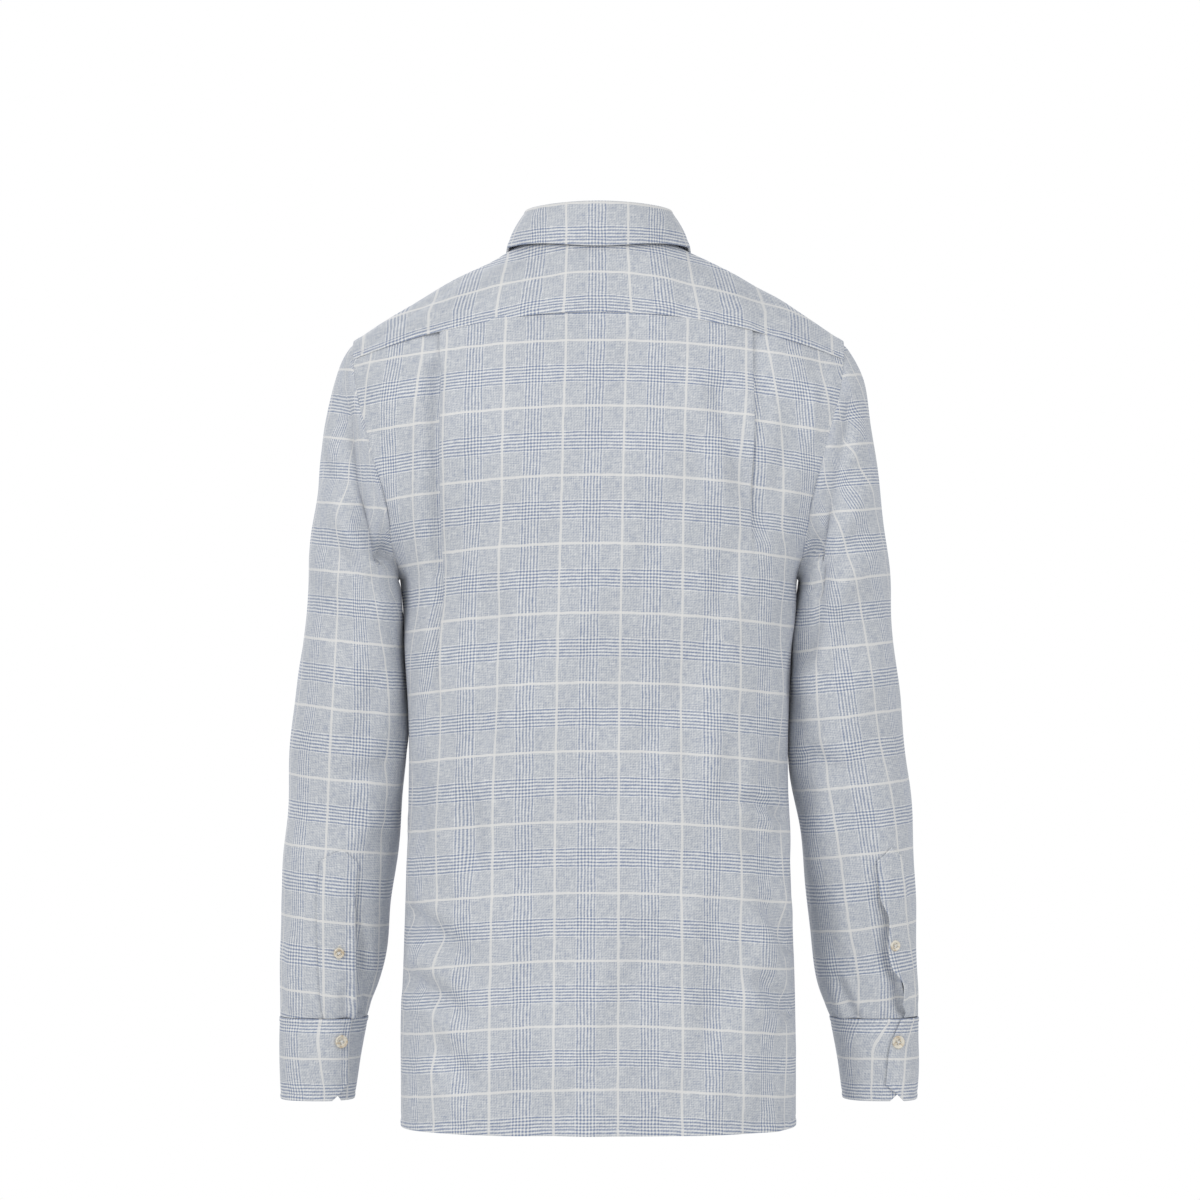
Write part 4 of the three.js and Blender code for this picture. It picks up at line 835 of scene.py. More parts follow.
def flannel_material():
    """Brushed glen check with a cream overcheck, on the cloth's own UV map."""
    known = bpy.data.materials.get("Glen check flannel")
    if known:
        return known
    look = bpy.context.scene.shirt_cloth
    n = Nodes("Glen check flannel")
    place_on_cloth = n.add("ShaderNodeUVMap", uv_map="cloth").outputs[0]
    wobble = n.add("ShaderNodeTexNoise", noise_dimensions="2D")
    n.wire(place_on_cloth, wobble.inputs["Vector"])
    wobble.inputs["Scale"].default_value = 60
    wobble.inputs["Detail"].default_value = 2
    shift = n.add("ShaderNodeVectorMath", operation="MULTIPLY_ADD")
    n.wire(wobble.outputs["Color"], shift.inputs[0])
    shift.inputs[1].default_value = (1.2 * MM, 1.2 * MM, 0)
    n.wire(place_on_cloth, shift.inputs[2])
    axes = n.add("ShaderNodeSeparateXYZ")
    n.wire(shift.outputs[0], axes.inputs[0])
    across, down = axes.outputs[0], axes.outputs[1]
    warp, warp_cream = check_wave(n, across, REPEAT_ACROSS)
    weft, weft_cream = check_wave(n, down, REPEAT_DOWN)
    shade = n.math("MULTIPLY_ADD", warp, 0.45, n.math("MULTIPLY", weft, 0.55))
    diagonal = n.math("MULTIPLY", n.math("ADD", across, down), 2 * math.pi / (2 * FINE_PAIR * MM))
    twill = n.math("SINE", diagonal)
    shade = n.math("MULTIPLY_ADD", twill, 0.05, shade)
    fluff = n.add("ShaderNodeTexNoise", noise_dimensions="2D")
    n.wire(place_on_cloth, fluff.inputs["Vector"])
    fluff.inputs["Scale"].default_value = 520
    fluff.inputs["Detail"].default_value = 3
    shade = n.math("MULTIPLY_ADD", n.math("SUBTRACT", fluff.outputs[0], 0.5), 0.22, shade)
    weft_slub = slubs(n, place_on_cloth, SLUB_LENGTH, SLUB_WIDTH)
    warp_slub = slubs(n, place_on_cloth, SLUB_WIDTH, SLUB_LENGTH)
    flecks = n.math("SUBTRACT", n.math("ADD", weft_slub, warp_slub), 1)
    shade = n.math("MULTIPLY_ADD", flecks, 0.5, shade, clamp=True)
    ramp = n.add("ShaderNodeValToRGB")
    n.wire(shade, ramp.inputs[0])
    stops = ramp.color_ramp.elements
    stops[0].position, stops[0].color = 0.08, opaque(look.light)
    stops[1].position, stops[1].color = 0.92, opaque(look.dark)
    middle = stops.new(0.5)
    middle.color = opaque(look.plain)
    colour = n.blend(n.math("MULTIPLY", warp_cream, 0.78), ramp.outputs[0], opaque(look.cream))
    colour = n.blend(n.math("MULTIPLY", weft_cream, 0.85), colour, opaque(look.cream))
    patches = n.add("ShaderNodeTexNoise", noise_dimensions="2D")
    n.wire(place_on_cloth, patches.inputs["Vector"])
    patches.inputs["Scale"].default_value = 9
    patches.inputs["Detail"].default_value = 4
    level = n.math("MULTIPLY_ADD", patches.outputs[0], 0.14, 0.93)
    tone = n.add("ShaderNodeCombineColor")
    for channel in tone.inputs:
        n.wire(level, channel)
    colour = n.blend(1.0, colour, tone.outputs[0], "MULTIPLY")
    crumple = n.add("ShaderNodeTexNoise", noise_dimensions="2D")
    n.wire(place_on_cloth, crumple.inputs["Vector"])
    crumple.inputs["Scale"].default_value = 34
    crumple.inputs["Detail"].default_value = 3
    soft_bump = n.add("ShaderNodeBump")
    soft_bump.inputs["Strength"].default_value = 0.5
    soft_bump.inputs["Distance"].default_value = 1.2 * MM
    n.wire(crumple.outputs[0], soft_bump.inputs["Height"])
    relief = n.math("MULTIPLY_ADD", fluff.outputs[0], 0.8, n.math("MULTIPLY", twill, 0.2))
    nap_bump = n.add("ShaderNodeBump")
    nap_bump.inputs["Strength"].default_value = 0.55
    nap_bump.inputs["Distance"].default_value = 0.35 * MM
    n.wire(relief, nap_bump.inputs["Height"])
    n.wire(soft_bump.outputs[0], nap_bump.inputs["Normal"])
    surface = n.add("ShaderNodeBsdfPrincipled")
    n.wire(colour, surface.inputs["Base Color"])
    n.wire(nap_bump.outputs[0], surface.inputs["Normal"])
    surface.inputs["Roughness"].default_value = 0.95
    surface.inputs["Specular IOR Level"].default_value = 0.2
    surface.inputs["Sheen Weight"].default_value = look.nap
    surface.inputs["Sheen Roughness"].default_value = 0.45
    surface.inputs["Sheen Tint"].default_value = (0.9, 0.93, 1.0, 1.0)
    out = n.add("ShaderNodeOutputMaterial")
    n.wire(surface.outputs[0], out.inputs[0])
    return n.material


def thread_material(name, colour):
    """Twisted thread."""
    known = bpy.data.materials.get(name)
    if known:
        return known
    n = Nodes(name)
    spot = n.add("ShaderNodeTexCoord").outputs["Object"]
    twist = n.add("ShaderNodeTexNoise")
    n.wire(spot, twist.inputs["Vector"])
    twist.inputs["Scale"].default_value = 1800
    level = n.math("MULTIPLY_ADD", twist.outputs[0], 0.3, 0.85)
    tone = n.add("ShaderNodeCombineColor")
    for channel in tone.inputs:
        n.wire(level, channel)
    shade = n.blend(1.0, opaque(colour), tone.outputs[0], "MULTIPLY")
    bump = n.add("ShaderNodeBump")
    bump.inputs["Strength"].default_value = 0.4
    bump.inputs["Distance"].default_value = 0.1 * MM
    n.wire(twist.outputs[0], bump.inputs["Height"])
    surface = n.add("ShaderNodeBsdfPrincipled")
    n.wire(shade, surface.inputs["Base Color"])
    n.wire(bump.outputs[0], surface.inputs["Normal"])
    surface.inputs["Roughness"].default_value = 0.75
    surface.inputs["Sheen Weight"].default_value = 0.2
    out = n.add("ShaderNodeOutputMaterial")
    n.wire(surface.outputs[0], out.inputs[0])
    return n.material


def button_material():
    """Polished shell with soft brownish veins."""
    known = bpy.data.materials.get("Button shell")
    if known:
        return known
    look = bpy.context.scene.shirt_buttons
    n = Nodes("Button shell")
    spot = n.add("ShaderNodeTexCoord").outputs["Object"]
    veins = n.add("ShaderNodeTexNoise")
    n.wire(spot, veins.inputs["Vector"])
    veins.inputs["Scale"].default_value = 170
    veins.inputs["Detail"].default_value = 3
    veins.inputs["Distortion"].default_value = 1.2
    ramp = n.add("ShaderNodeValToRGB")
    n.wire(veins.outputs[0], ramp.inputs[0])
    stops = ramp.color_ramp.elements
    stops[0].position, stops[0].color = 0.36, opaque(look.rim)
    stops[1].position, stops[1].color = 0.56, opaque(look.shell)
    surface = n.add("ShaderNodeBsdfPrincipled")
    n.wire(ramp.outputs[0], surface.inputs["Base Color"])
    surface.inputs["Roughness"].default_value = 0.28
    surface.inputs["Coat Weight"].default_value = 0.3
    surface.inputs["Coat Roughness"].default_value = 0.15
    out = n.add("ShaderNodeOutputMaterial")
    n.wire(surface.outputs[0], out.inputs[0])
    return n.material


# Where the check falls on the pieces
def weft_phase(z, creams):
    """Height on the cloth, where the cream lines fall on whole repeats."""
    lines = np.array(creams, dtype=float)
    order = np.arange(len(lines))
    inside = np.interp(-z, -lines, order)
    step = REPEAT_DOWN
    above = np.minimum((lines[0] - z) / step, 0)
    below = np.maximum((lines[-1] - z) / step, 0)
    return -(inside + above + below) * step


def body_weave(net, lengths, lower=0):
    """The weave on back and fronts, from the length along each row and the height."""
    height = net[..., 2] + BODY_SAG * (net[..., 0] / BODY_SAG_X) ** 2 + lower
    middle, repeat = back_ladder_x(net[..., 2]), back_repeat(net[..., 2])
    across = (lengths - middle) * REPEAT_ACROSS / repeat + REPEAT_ACROSS / 2
    return np.stack([across, weft_phase(height, BACK_CREAM_Z)], axis=-1)


RING = np.linspace(-180, 180, 361)
RING_BEHIND = (RING > 15) & (RING < 165)


def sleeve_weave(side, net, at, degrees):
    """The weave on a sleeve, from the length round it and the height along it."""
    across = np.empty(degrees.shape)
    for k, row in enumerate(at):
        ring = sleeve_base(row, RING)
        lengths = row_sums(ring[None])[0]
        seen = ring[RING_BEHIND]
        line_x = sleeve_line_x[side](seen[:, 2].mean())
        zero = np.interp(-line_x, -seen[:, 0], lengths[RING_BEHIND])
        across[k] = np.interp(degrees[k], RING, lengths) - zero
    height = net[..., 2] - SLEEVE_TILT * (net[..., 0] - SLEEVE_TILT_X)
    down = weft_phase(height, SLEEVE_CREAM_Z[side])
    return np.stack([across + SLEEVE_LINE_PHASE[side], down], axis=-1)


# Building the pieces
def back_half(z, side):
    """Half a row of the back from the middle, through its pleat: points, way out, cloth length."""
    xs, lengths = row_lengths(z, "back")
    whole = lengths[-1]
    fold = np.interp(PLEATS[side][0], xs, lengths)
    under = float(pleat_under[side](z))
    turn = math.radians(float(pleat_turn[side](z)))
    steps = PLEAT_STEPS["turn"]
    drop = 2 * PLEAT_RADIUS * (1 - math.cos(turn))
    spread = PLEAT_SPREAD * (1 - turn / math.pi)
    centre = np.linspace(0, fold - spread * steps, PLEAT_STEPS["centre"] + 1)
    k = np.arange(1, steps + 1)
    first = fold + PLEAT_RADIUS * np.sin(turn * k / steps) + spread * (k - steps)
    first_height = -PLEAT_RADIUS * (1 - np.cos(turn * k / steps))
    k = np.arange(0, steps + 1)
    back_turn = turn * (1 - k / steps)
    second = fold + PLEAT_RADIUS * np.sin(back_turn) - under + spread * (k + 1)
    second_height = first_height[-1] - PLEAT_RADIUS * (np.cos(back_turn) - math.cos(turn))
    t = np.linspace(0, 1, PLEAT_STEPS["under"] + 1)[1:-1]
    between = mix(first[-1], second[0], t)
    between_height = mix(first_height[-1], second_height[0], t)
    outer = mix(second[-1], whole, np.linspace(0, 1, PLEAT_STEPS["outer"] + 1)[1:])
    outer_height = -drop * (1 - ease((outer - fold) / PLEAT_DIP))
    path = np.concatenate([centre, first, between, second, outer])
    height = np.concatenate([np.zeros_like(centre), first_height, between_height, second_height, outer_height])
    share = np.interp(path, lengths, ROW_SHARES)
    at = body_row(z, share, "back")
    small = 0.004
    low = body_row(z, np.maximum(share - small, 0), "back")
    high = body_row(z, np.minimum(share + small, 1), "back")
    way = unit(place(low[:, 1] - high[:, 1], high[:, 0] - low[:, 0], 0))
    points = at + way * height[:, None]
    moved = np.concatenate([[0], np.cumsum(np.linalg.norm(np.diff(points, axis=0), axis=1))])
    if side == "right":
        return mirrored(points), mirrored(way), -moved, share
    return points, way, moved, share


def edge_calm(z, share):
    """Creases die away at the seams, so that neighbouring pieces still meet."""
    return ease((1 - np.abs(share)) / 0.1) * ease((BACK_YOKE_Z - z) / 30)


def make_back():
    creases = bpy.context.scene.shirt_sewing.creases
    thickness = bpy.context.scene.shirt_cloth.thickness
    rows, ways, lengths, shares = [], [], [], []
    levels = levels_between(HEM_Z, BACK_YOKE_Z, 3.4)
    for z in levels:
        halves = [back_half(z, "right"), back_half(z, "left")]
        join = [np.concatenate([right[1:][::-1], left]) for right, left in zip(*halves)]
        rows.append(join[0])
        ways.append(join[1])
        lengths.append(join[2])
        shares.append(join[3])
    net, ways, lengths, shares = (np.array(x) for x in (rows, ways, lengths, shares))
    z = levels[:, None]
    calm = edge_calm(z, shares)
    height = crease_heights(BODY_CREASES, net, ways) * calm * creases + undulation(net, 0) * calm
    height = height + hem_roll(z - HEM_Z, 7)
    counted = np.arange(net.shape[1]) - net.shape[1] // 2
    lower = np.zeros(net.shape[:2])
    for side, sign in (("left", 1), ("right", -1)):
        outside = np.clip((sign * counted - sum(PLEAT_STEPS[key] for key in ("centre", "turn"))) / PLEAT_STEPS["under"], 0, 1)
        held = ease((PLEAT_TOP_Z - levels) / 70) * ease(pleat_under[side](levels) / 7)
        lower += PLEAT_SETS * held[:, None] * outside[None]
    weave = body_weave(net, lengths, lower)
    net = lifted(net, ways, height)
    beyond = 1.5 * ease((levels - UNDERARM_Z - 4) / 20)
    for edge, inner in ((0, 1), (-1, -2)):
        net[:, edge] += unit(net[:, edge] - net[:, inner]) * beyond[:, None]
        net[:, edge] += ways[:, edge] * (0.3 * beyond)[:, None]
    cloth_piece("back_cloth", net, weave, ways, thickness, "back")
    wall = thickness / MM
    lines = [line_in(net, ways, wall, 7, "first_row")]
    top = np.searchsorted(levels, UNDERARM_Z + 8)
    for edge in ("first_column", "last_column"):
        points, up = line_in(net, ways, wall, 6.5, edge)
        lines.append((points[top:-2], up[top:-2]))
    stitching("stitching_back", lines)


def front_net(levels, side, lift_of, columns_of):
    """A net on the fronts from lengths along each row; below 0 it is on the other side."""
    sign = 1 if side == "left" else -1
    rows, shares, along = [], [], []
    for z in levels:
        xs, lengths = row_lengths(z, "front")
        stops = columns_of(xs, lengths)
        share = np.interp(np.abs(stops), lengths, ROW_SHARES) * np.sign(stops)
        points = front_base(z, np.abs(share))
        points[:, 0] *= np.where(share < 0, -1, 1)
        rows.append(points)
        shares.append(share)
        along.append(stops)
    net, shares, along = np.array(rows), np.array(shares), np.array(along)
    if sign < 0:
        net, along = mirrored(net), -along
    ways = net_normals(net, from_middle(net, (0, SIDE_SEAM_Y, 0)))
    z = levels[:, None]
    apart = ease((np.abs(net[..., 0]) - 20) / 40)
    calm = edge_calm(z, shares) * apart
    strength = bpy.context.scene.shirt_sewing.creases
    height = crease_heights(BODY_CREASES, net, ways) * strength * calm + undulation(net, 1.3) * calm
    return net, ways, height + lift_of(xs, lengths, along * sign), along, shares


def make_fronts():
    thickness = bpy.context.scene.shirt_cloth.thickness
    wall = thickness / MM
    levels = levels_between(HEM_Z, NECK_FRONT_Z, 4)
    half = PLACKET_WIDTH / 2

    def stops(xs, lengths):
        inner = np.interp(half, xs, lengths)
        ramp = np.interp(half + PLACKET_RAMP, xs, lengths)
        near = np.linspace(-inner, inner, 13)
        rise = np.linspace(inner, ramp, 7)[1:]
        return np.concatenate([near, rise, np.linspace(ramp, lengths[-1], 58)[1:]])

    for side in ("left", "right"):

        def on_top(xs, lengths, along):
            if side == "right":
                return np.zeros_like(along)
            return LAYER * ease((half + PLACKET_RAMP - along) / PLACKET_RAMP)

        net, ways, height, along, _ = front_net(levels, side, on_top, stops)
        height = height + hem_roll(levels[:, None] - HEM_Z, 7)
        weave = body_weave(net, along + back_ladder_x(net[..., 2]))
        net = lifted(net, ways, height)
        beyond = 1.5 * ease((levels - UNDERARM_Z - 4) / 20)
        net[:, -1] += unit(net[:, -1] - net[:, -2]) * beyond[:, None] + ways[:, -1] * (0.3 * beyond)[:, None]
        cloth_piece(f"front_cloth_{side}", net, weave, ways, thickness, f"front_{side}")
        lines = [line_in(net, ways, wall, 7, "first_row")]
        top = np.searchsorted(levels, UNDERARM_Z + 8)
        points, up = line_in(net, ways, wall, 6.5, "last_column")
        lines.append((points[top:-2], up[top:-2]))
        stitching(f"stitching_front_{side}", lines)

    def placket_stops(xs, lengths):
        inner = np.interp(half, xs, lengths)
        return np.linspace(-inner, inner, 17)

    def placket_lift(xs, lengths, along):
        edge = np.minimum(half - np.abs(along), 6)
        return 2 * LAYER + 0.35 * np.sin(np.pi * np.clip(edge / 5, 0, 1)) - 0.2 * np.exp(-((edge - 5) ** 2))

    net, ways, height, along, _ = front_net(levels, "left", placket_lift, placket_stops)
    weave = body_weave(net, along + back_ladder_x(net[..., 2]))
    net = lifted(net, ways, height)
    cloth_piece("placket_cloth", net, weave, ways, thickness, "front_placket")
    lines = [line_in(net, ways, wall, 5, edge) for edge in ("first_column", "last_column")]
    stitching("stitching_placket", lines)


def over_the_shoulder(net, weave):
    """Carries the yoke's weave on from the shoulder line down its front."""
    middle = net.shape[1] // 2
    order = np.arange(middle + 1)
    lengths = row_sums(net)
    for row in range(net.shape[0]):
        for columns in (middle + order, middle - order):
            forward = -net[row, columns, 1]
            at = np.interp(-SHOULDER_Y, forward, order)
            ridge = [np.interp(at, order, weave[row, columns, k]) for k in (0, 1)]
            path = np.abs(lengths[row, columns] - np.interp(at, order, lengths[row, columns]))
            front = forward > -SHOULDER_Y
            weave[row, columns[front], 1] = ridge[1] + path[front]
            drift = weave[row, columns[front], 0] - ridge[0]
            weave[row, columns[front], 0] = ridge[0] + 0.6 * drift
    return weave


def make_yoke():
    thickness = bpy.context.scene.shirt_cloth.thickness
    wall = thickness / MM
    behind = np.linspace(90, YOKE_NECK["back"], 72)
    beside = np.linspace(YOKE_NECK["back"], YOKE_NECK["front"], 42)
    degrees = np.concatenate([behind, beside[1:]])
    shares = np.concatenate([np.linspace(0, 0.93, 48), [0.955, 0.975, 0.988, 1]])
    half = yoke_point(degrees[None], shares[:, None])
    ways = net_normals(half, place(0, 0, 1))
    outer = half[-1]
    _, lengths = row_lengths(BACK_YOKE_Z, "back")
    t = np.clip((90 - degrees) / (90 - YOKE_NECK["back"]), 0, 1)
    back_share = np.interp(t * lengths[-1], lengths, ROW_SHARES)
    down = unit(body_row(BACK_YOKE_Z - 3.0, back_share, "back") - body_row(BACK_YOKE_Z, back_share, "back"))
    across = unit(half[-1] - half[-4])
    is_back = ease((degrees - YOKE_NECK["back"] + 1.5) / 3)[:, None]
    heading = unit(mix(across, down, is_back))
    reach = mix(1.6, 2.6, is_back[:, 0])
    extra = [outer + heading * (reach * part)[:, None] for part in (0.5, 1)]
    half = np.concatenate([half, np.array(extra)])
    sums = row_sums(half, axis=0)
    from_edge = sums[-1][None] - sums
    side_way = net_normals(half, place(0, 0, 1))
    lap = mix(0.5, 1.45, is_back[:, 0])[None] * (1 - ease((from_edge - 2.4) / 7))
    seam_round = row_sums(half)[:, -1:] - row_sums(half)
    front_lap = 1.45 * (1 - ease((seam_round - 1) / 7))
    lap = np.maximum(lap, front_lap)
    forward = unit(half[:, -1] - half[:, -3])
    front_share = np.interp(np.linspace(0, 1, half.shape[0]), [0, 1], [NECKLINE_SHARE, 1])
    down_front = unit(front_base(NECK_FRONT_Z - 3.0, front_share) - front_base(NECK_FRONT_Z, front_share))
    heading = unit(mix(forward, down_front, 0.75))
    flaps = [half[:, -1] + heading * d for d in (1.3, 2.6)]
    half = np.concatenate([half, np.stack(flaps, axis=1)], axis=1)
    side_way = np.concatenate([side_way, side_way[:, -1:], side_way[:, -1:]], axis=1)
    lap = np.concatenate([lap, lap[:, -1:], lap[:, -1:]], axis=1)
    half = lifted(half, side_way, lap)
    net = np.concatenate([mirrored(half[:, 1:])[:, ::-1], half], axis=1)
    ways = net_normals(net, place(0, 0, 1))
    calm = ease(row_sums(net, axis=0) / 30) * ease((from_edge.max() - row_sums(net, axis=0)) / 60)
    x, y, z = net[..., 0], net[..., 1], net[..., 2]
    sag = YOKE_SAG * (np.abs(x) / YOKE_SAG_X) ** 1.6
    fan = mix(1.05, 0.925, np.clip((5 - z) / 58, 0, 1))
    across = fan * (x - YOKE_LADDER_X) + REPEAT_ACROSS / 2
    weave = np.stack([across, 1.09 * (z + sag) + YOKE_CREAM], axis=-1)
    weave = over_the_shoulder(net, weave)
    net = lifted(net, ways, undulation(net, 2.1) * calm * 0.6)
    cloth_piece("yoke_cloth", net, weave, ways, thickness, "yoke")
    middle = net.shape[1] // 2
    turn = len(behind) - 1
    points, up = line_in(net, ways, wall, 5, "last_row")
    lines = [(points[middle - turn : middle + turn + 1], up[middle - turn : middle + turn + 1])]
    for low, high in ((2, middle - turn), (middle + turn, -2)):
        lines.append((points[low:high], up[low:high]))
    for edge in ("first_column", "last_column"):
        points, up = line_in(net, ways, wall, 4.5, edge)
        lines.append((points[4:-4], up[4:-4]))
    stitching("stitching_yoke", lines)


def stand_point(rounds, up, lift):
    """A point of the collar stand, round the neck from the middle of the back."""
    rounds, up = np.broadcast_arrays(np.asarray(rounds, dtype=float), np.asarray(up, dtype=float))
    degrees = 90 - np.abs(rounds)
    s = np.sin(np.radians(degrees))
    front = ease(-s)
    outwards = unit(place(np.cos(np.radians(degrees)) / NECK["half_width"], s / NECK["half_depth"], 0))
    height = mix(STAND["height"], STAND["front_height"], front)
    lean = mix(STAND["lean"], STAND["front_lean"], front)
    at = neck(degrees) + outwards * (lift - lean * up)[..., None]
    at[..., 2] += mix(STAND_START["back"], STAND_START["front"], front) + height * up
    at[..., 0] *= np.where(rounds < 0, -1, 1)
    return at


def stand_step(rounds):
    return np.sign(rounds) * STAND["step"] * ease((np.abs(rounds) - 145) / 22)


def front_surface(z, share, lift):
    """A point on the front with its way out, for what lies on it."""
    small = 0.01
    at = front_base(z, share)
    along = front_base(z, share + small) - front_base(z, share - small)
    up = front_base(z + 1, share) - front_base(z - 1, share)
    return at + unit(np.cross(along, up)) * lift


def collar_edge(rounds):
    """The lower edge of the collar: on the yoke, then over the fronts to the point."""
    last_round, last_reach = COLLAR_EDGE[-1]
    edge = []
    for turn in rounds:
        if turn <= last_round:
            degrees = np.array(90.0 - turn)
            reach = float(collar_reach_at(turn))
            whole = np.linalg.norm(yoke_outer(degrees) - neck(degrees))
            share = reach / whole
            at = yoke_point(degrees, share)
            along = yoke_point(degrees + 1, share) - yoke_point(degrees - 1, share)
            out = yoke_point(degrees, share + 0.01) - yoke_point(degrees, share - 0.01)
            way = unit(np.cross(out, along))
            edge.append(at + way * (COLLAR["lift"] if way[2] > 0 else -COLLAR["lift"]))
            continue
        seam = np.linalg.norm(armhole(YOKE_CORNER["front"]) - neck(YOKE_NECK["front"]))
        seam_share = NECKLINE_SHARE + (1 - NECKLINE_SHARE) * (last_reach / seam)
        t = (turn - last_round) / (COLLAR["end"] - last_round)
        z = np.array(mix(NECK_FRONT_Z, COLLAR_POINT["z"], t))
        share = np.array(mix(seam_share, COLLAR_POINT["share"], t))
        edge.append(front_surface(z, share, COLLAR["lift"]))
    return np.array(edge)


def make_collar():
    double = bpy.context.scene.shirt_cloth.double
    wall = double / MM
    end = 180 + STAND["overlap"]
    rounds = np.linspace(-end, end, 161)[None]
    net = stand_point(rounds, np.linspace(0, 1, 12)[:, None], np.broadcast_to(stand_step(rounds), (12, 161)))
    ways = net_normals(net, from_middle(net, (0, NECK["y"], 0)))
    sums = row_sums(net)
    across = sums - sums[:, 80:81]
    rise = row_sums(net, axis=0)
    weave = np.stack([across + REPEAT_ACROSS / 2, rise + 18], axis=-1)
    cloth_piece("collar_stand_cloth", net, weave, ways, double, "collar_stand")
    lines = [line_in(net, ways, wall, 3, "first_row")]
    stitching("stitching_stand", lines)

    rounds = np.linspace(0, COLLAR["end"], 86)
    top = stand_point(rounds, 1.0, np.zeros_like(rounds))
    turned = np.radians(90 - rounds)
    outwards = unit(place(np.cos(turned) / NECK["half_width"], np.sin(turned) / NECK["half_depth"], 0))
    start = wall / 2 + COLLAR["above_stand"]
    up = place(0, 0, 1)
    lines_down = [top + up * start]
    for turn in np.radians(np.linspace(15, 180, 12)):
        across = COLLAR["roll"] * (1 - math.cos(turn))
        lines_down.append(top + outwards * across + up * (start + COLLAR["roll"] * math.sin(turn)))
    edge = collar_edge(rounds)
    shoulder = lines_down[-1]
    for t in np.concatenate([np.linspace(0, 0.84, 12)[1:], [0.885, 0.92, 0.95, 0.975, 1]]):
        bow = COLLAR["bow"] * math.sin(math.pi * t)
        lines_down.append(mix(shoulder, edge, t) + outwards * bow)
    half = np.array(lines_down)
    net = np.concatenate([mirrored(half[:, 1:])[:, ::-1], half], axis=1)
    ways = net_normals(net, from_middle(net, (0, NECK["y"], 0)))
    fall = row_sums(net, axis=0)
    to_edge = fall[-1:] - fall
    net = lifted(net, ways, hem_roll(to_edge, 6, 0.35))
    middle = net.shape[1] // 2
    sums = row_sums(net[8:9])
    across = np.broadcast_to(sums - sums[:, middle : middle + 1], net.shape[:2])
    turned = np.abs(np.arange(net.shape[1]) - middle) * COLLAR["end"] / middle
    behind = turned < 85
    low = row_sums(net[-8:-7])[0]
    low = (low - low[middle])[behind]
    upright = np.array([np.interp(row[:, 0], net[-8, behind, 0], low) for row in net]) - COLLAR_LADDER_X
    across = mix(across, upright, ease((75 - turned) / 35)[None])
    over = fall - (math.pi / 2 * COLLAR["roll"])
    weave = np.stack([across + REPEAT_ACROSS / 2, 2 - over], axis=-1)
    cloth_piece("collar_cloth", net, weave, ways, double, "collar")
    lines = [line_in(net, ways, wall, 6, "last_row")]
    for side_edge in ("first_column", "last_column"):
        points, way = line_in(net, ways, wall, 6, side_edge)
        lines.append((points[14:-4], way[14:-4]))
    stitching("stitching_collar", lines)


def slit_degrees(side, at):
    """Degrees round the sleeve of the slit, and how far it stands open."""
    wrist = WRISTS[side]
    down = np.clip((at - sleeve_row_at(SLIT_TOP_Z)) / (SLEEVE_LAST - sleeve_row_at(SLIT_TOP_Z)), 0, 1)
    width = mix(GAUNTLET["top_width"], GAUNTLET["foot_width"], down)
    middle = mix(wrist["slit_top"], wrist["slit_foot"], down) - width / 2
    return middle, wrist["gape"] * ease(down * 3), down


def sleeve_surface(side, at, degrees, closed=False):
    """Points of a sleeve with their way out and the height of its creases, on the left side."""
    net = sleeve_base(at, degrees)
    middle = (net.max(axis=1, keepdims=True) + net.min(axis=1, keepdims=True)) / 2
    away = net - middle
    if not closed:
        columns = [column(at) for column in sleeve_columns]
        centre = place((columns[0] + columns[2]) / 2, columns[4], (columns[1] + columns[3]) / 2)
        away = net - centre
    ways = net_normals(net, away, closed)
    calm = ease(at / 0.3) * ease((SLEEVE_LAST - at) / 0.25 + 0.25)
    heights = crease_heights(SLEEVE_CREASES[side], net, ways) * bpy.context.scene.shirt_sewing.creases
    seed = 3.7 if side == "left" else 5.1
    heights = heights * calm + undulation(net, seed) * 0.9 * ease(at / 2) * ease((SLEEVE_LAST - at) / 1.5)
    return net, ways, heights


def placket_edge(side, at):
    """Degrees round the sleeve of the free edge of its placket."""
    if side == "right":
        heights = np.interp(at, np.arange(len(SLEEVE)), [row[1] for row in SLEEVE])
        return right_gauntlet_edge(heights)
    _, _, down = slit_degrees(side, at)
    return mix(WRISTS[side]["slit_top"], WRISTS[side]["slit_foot"], down)


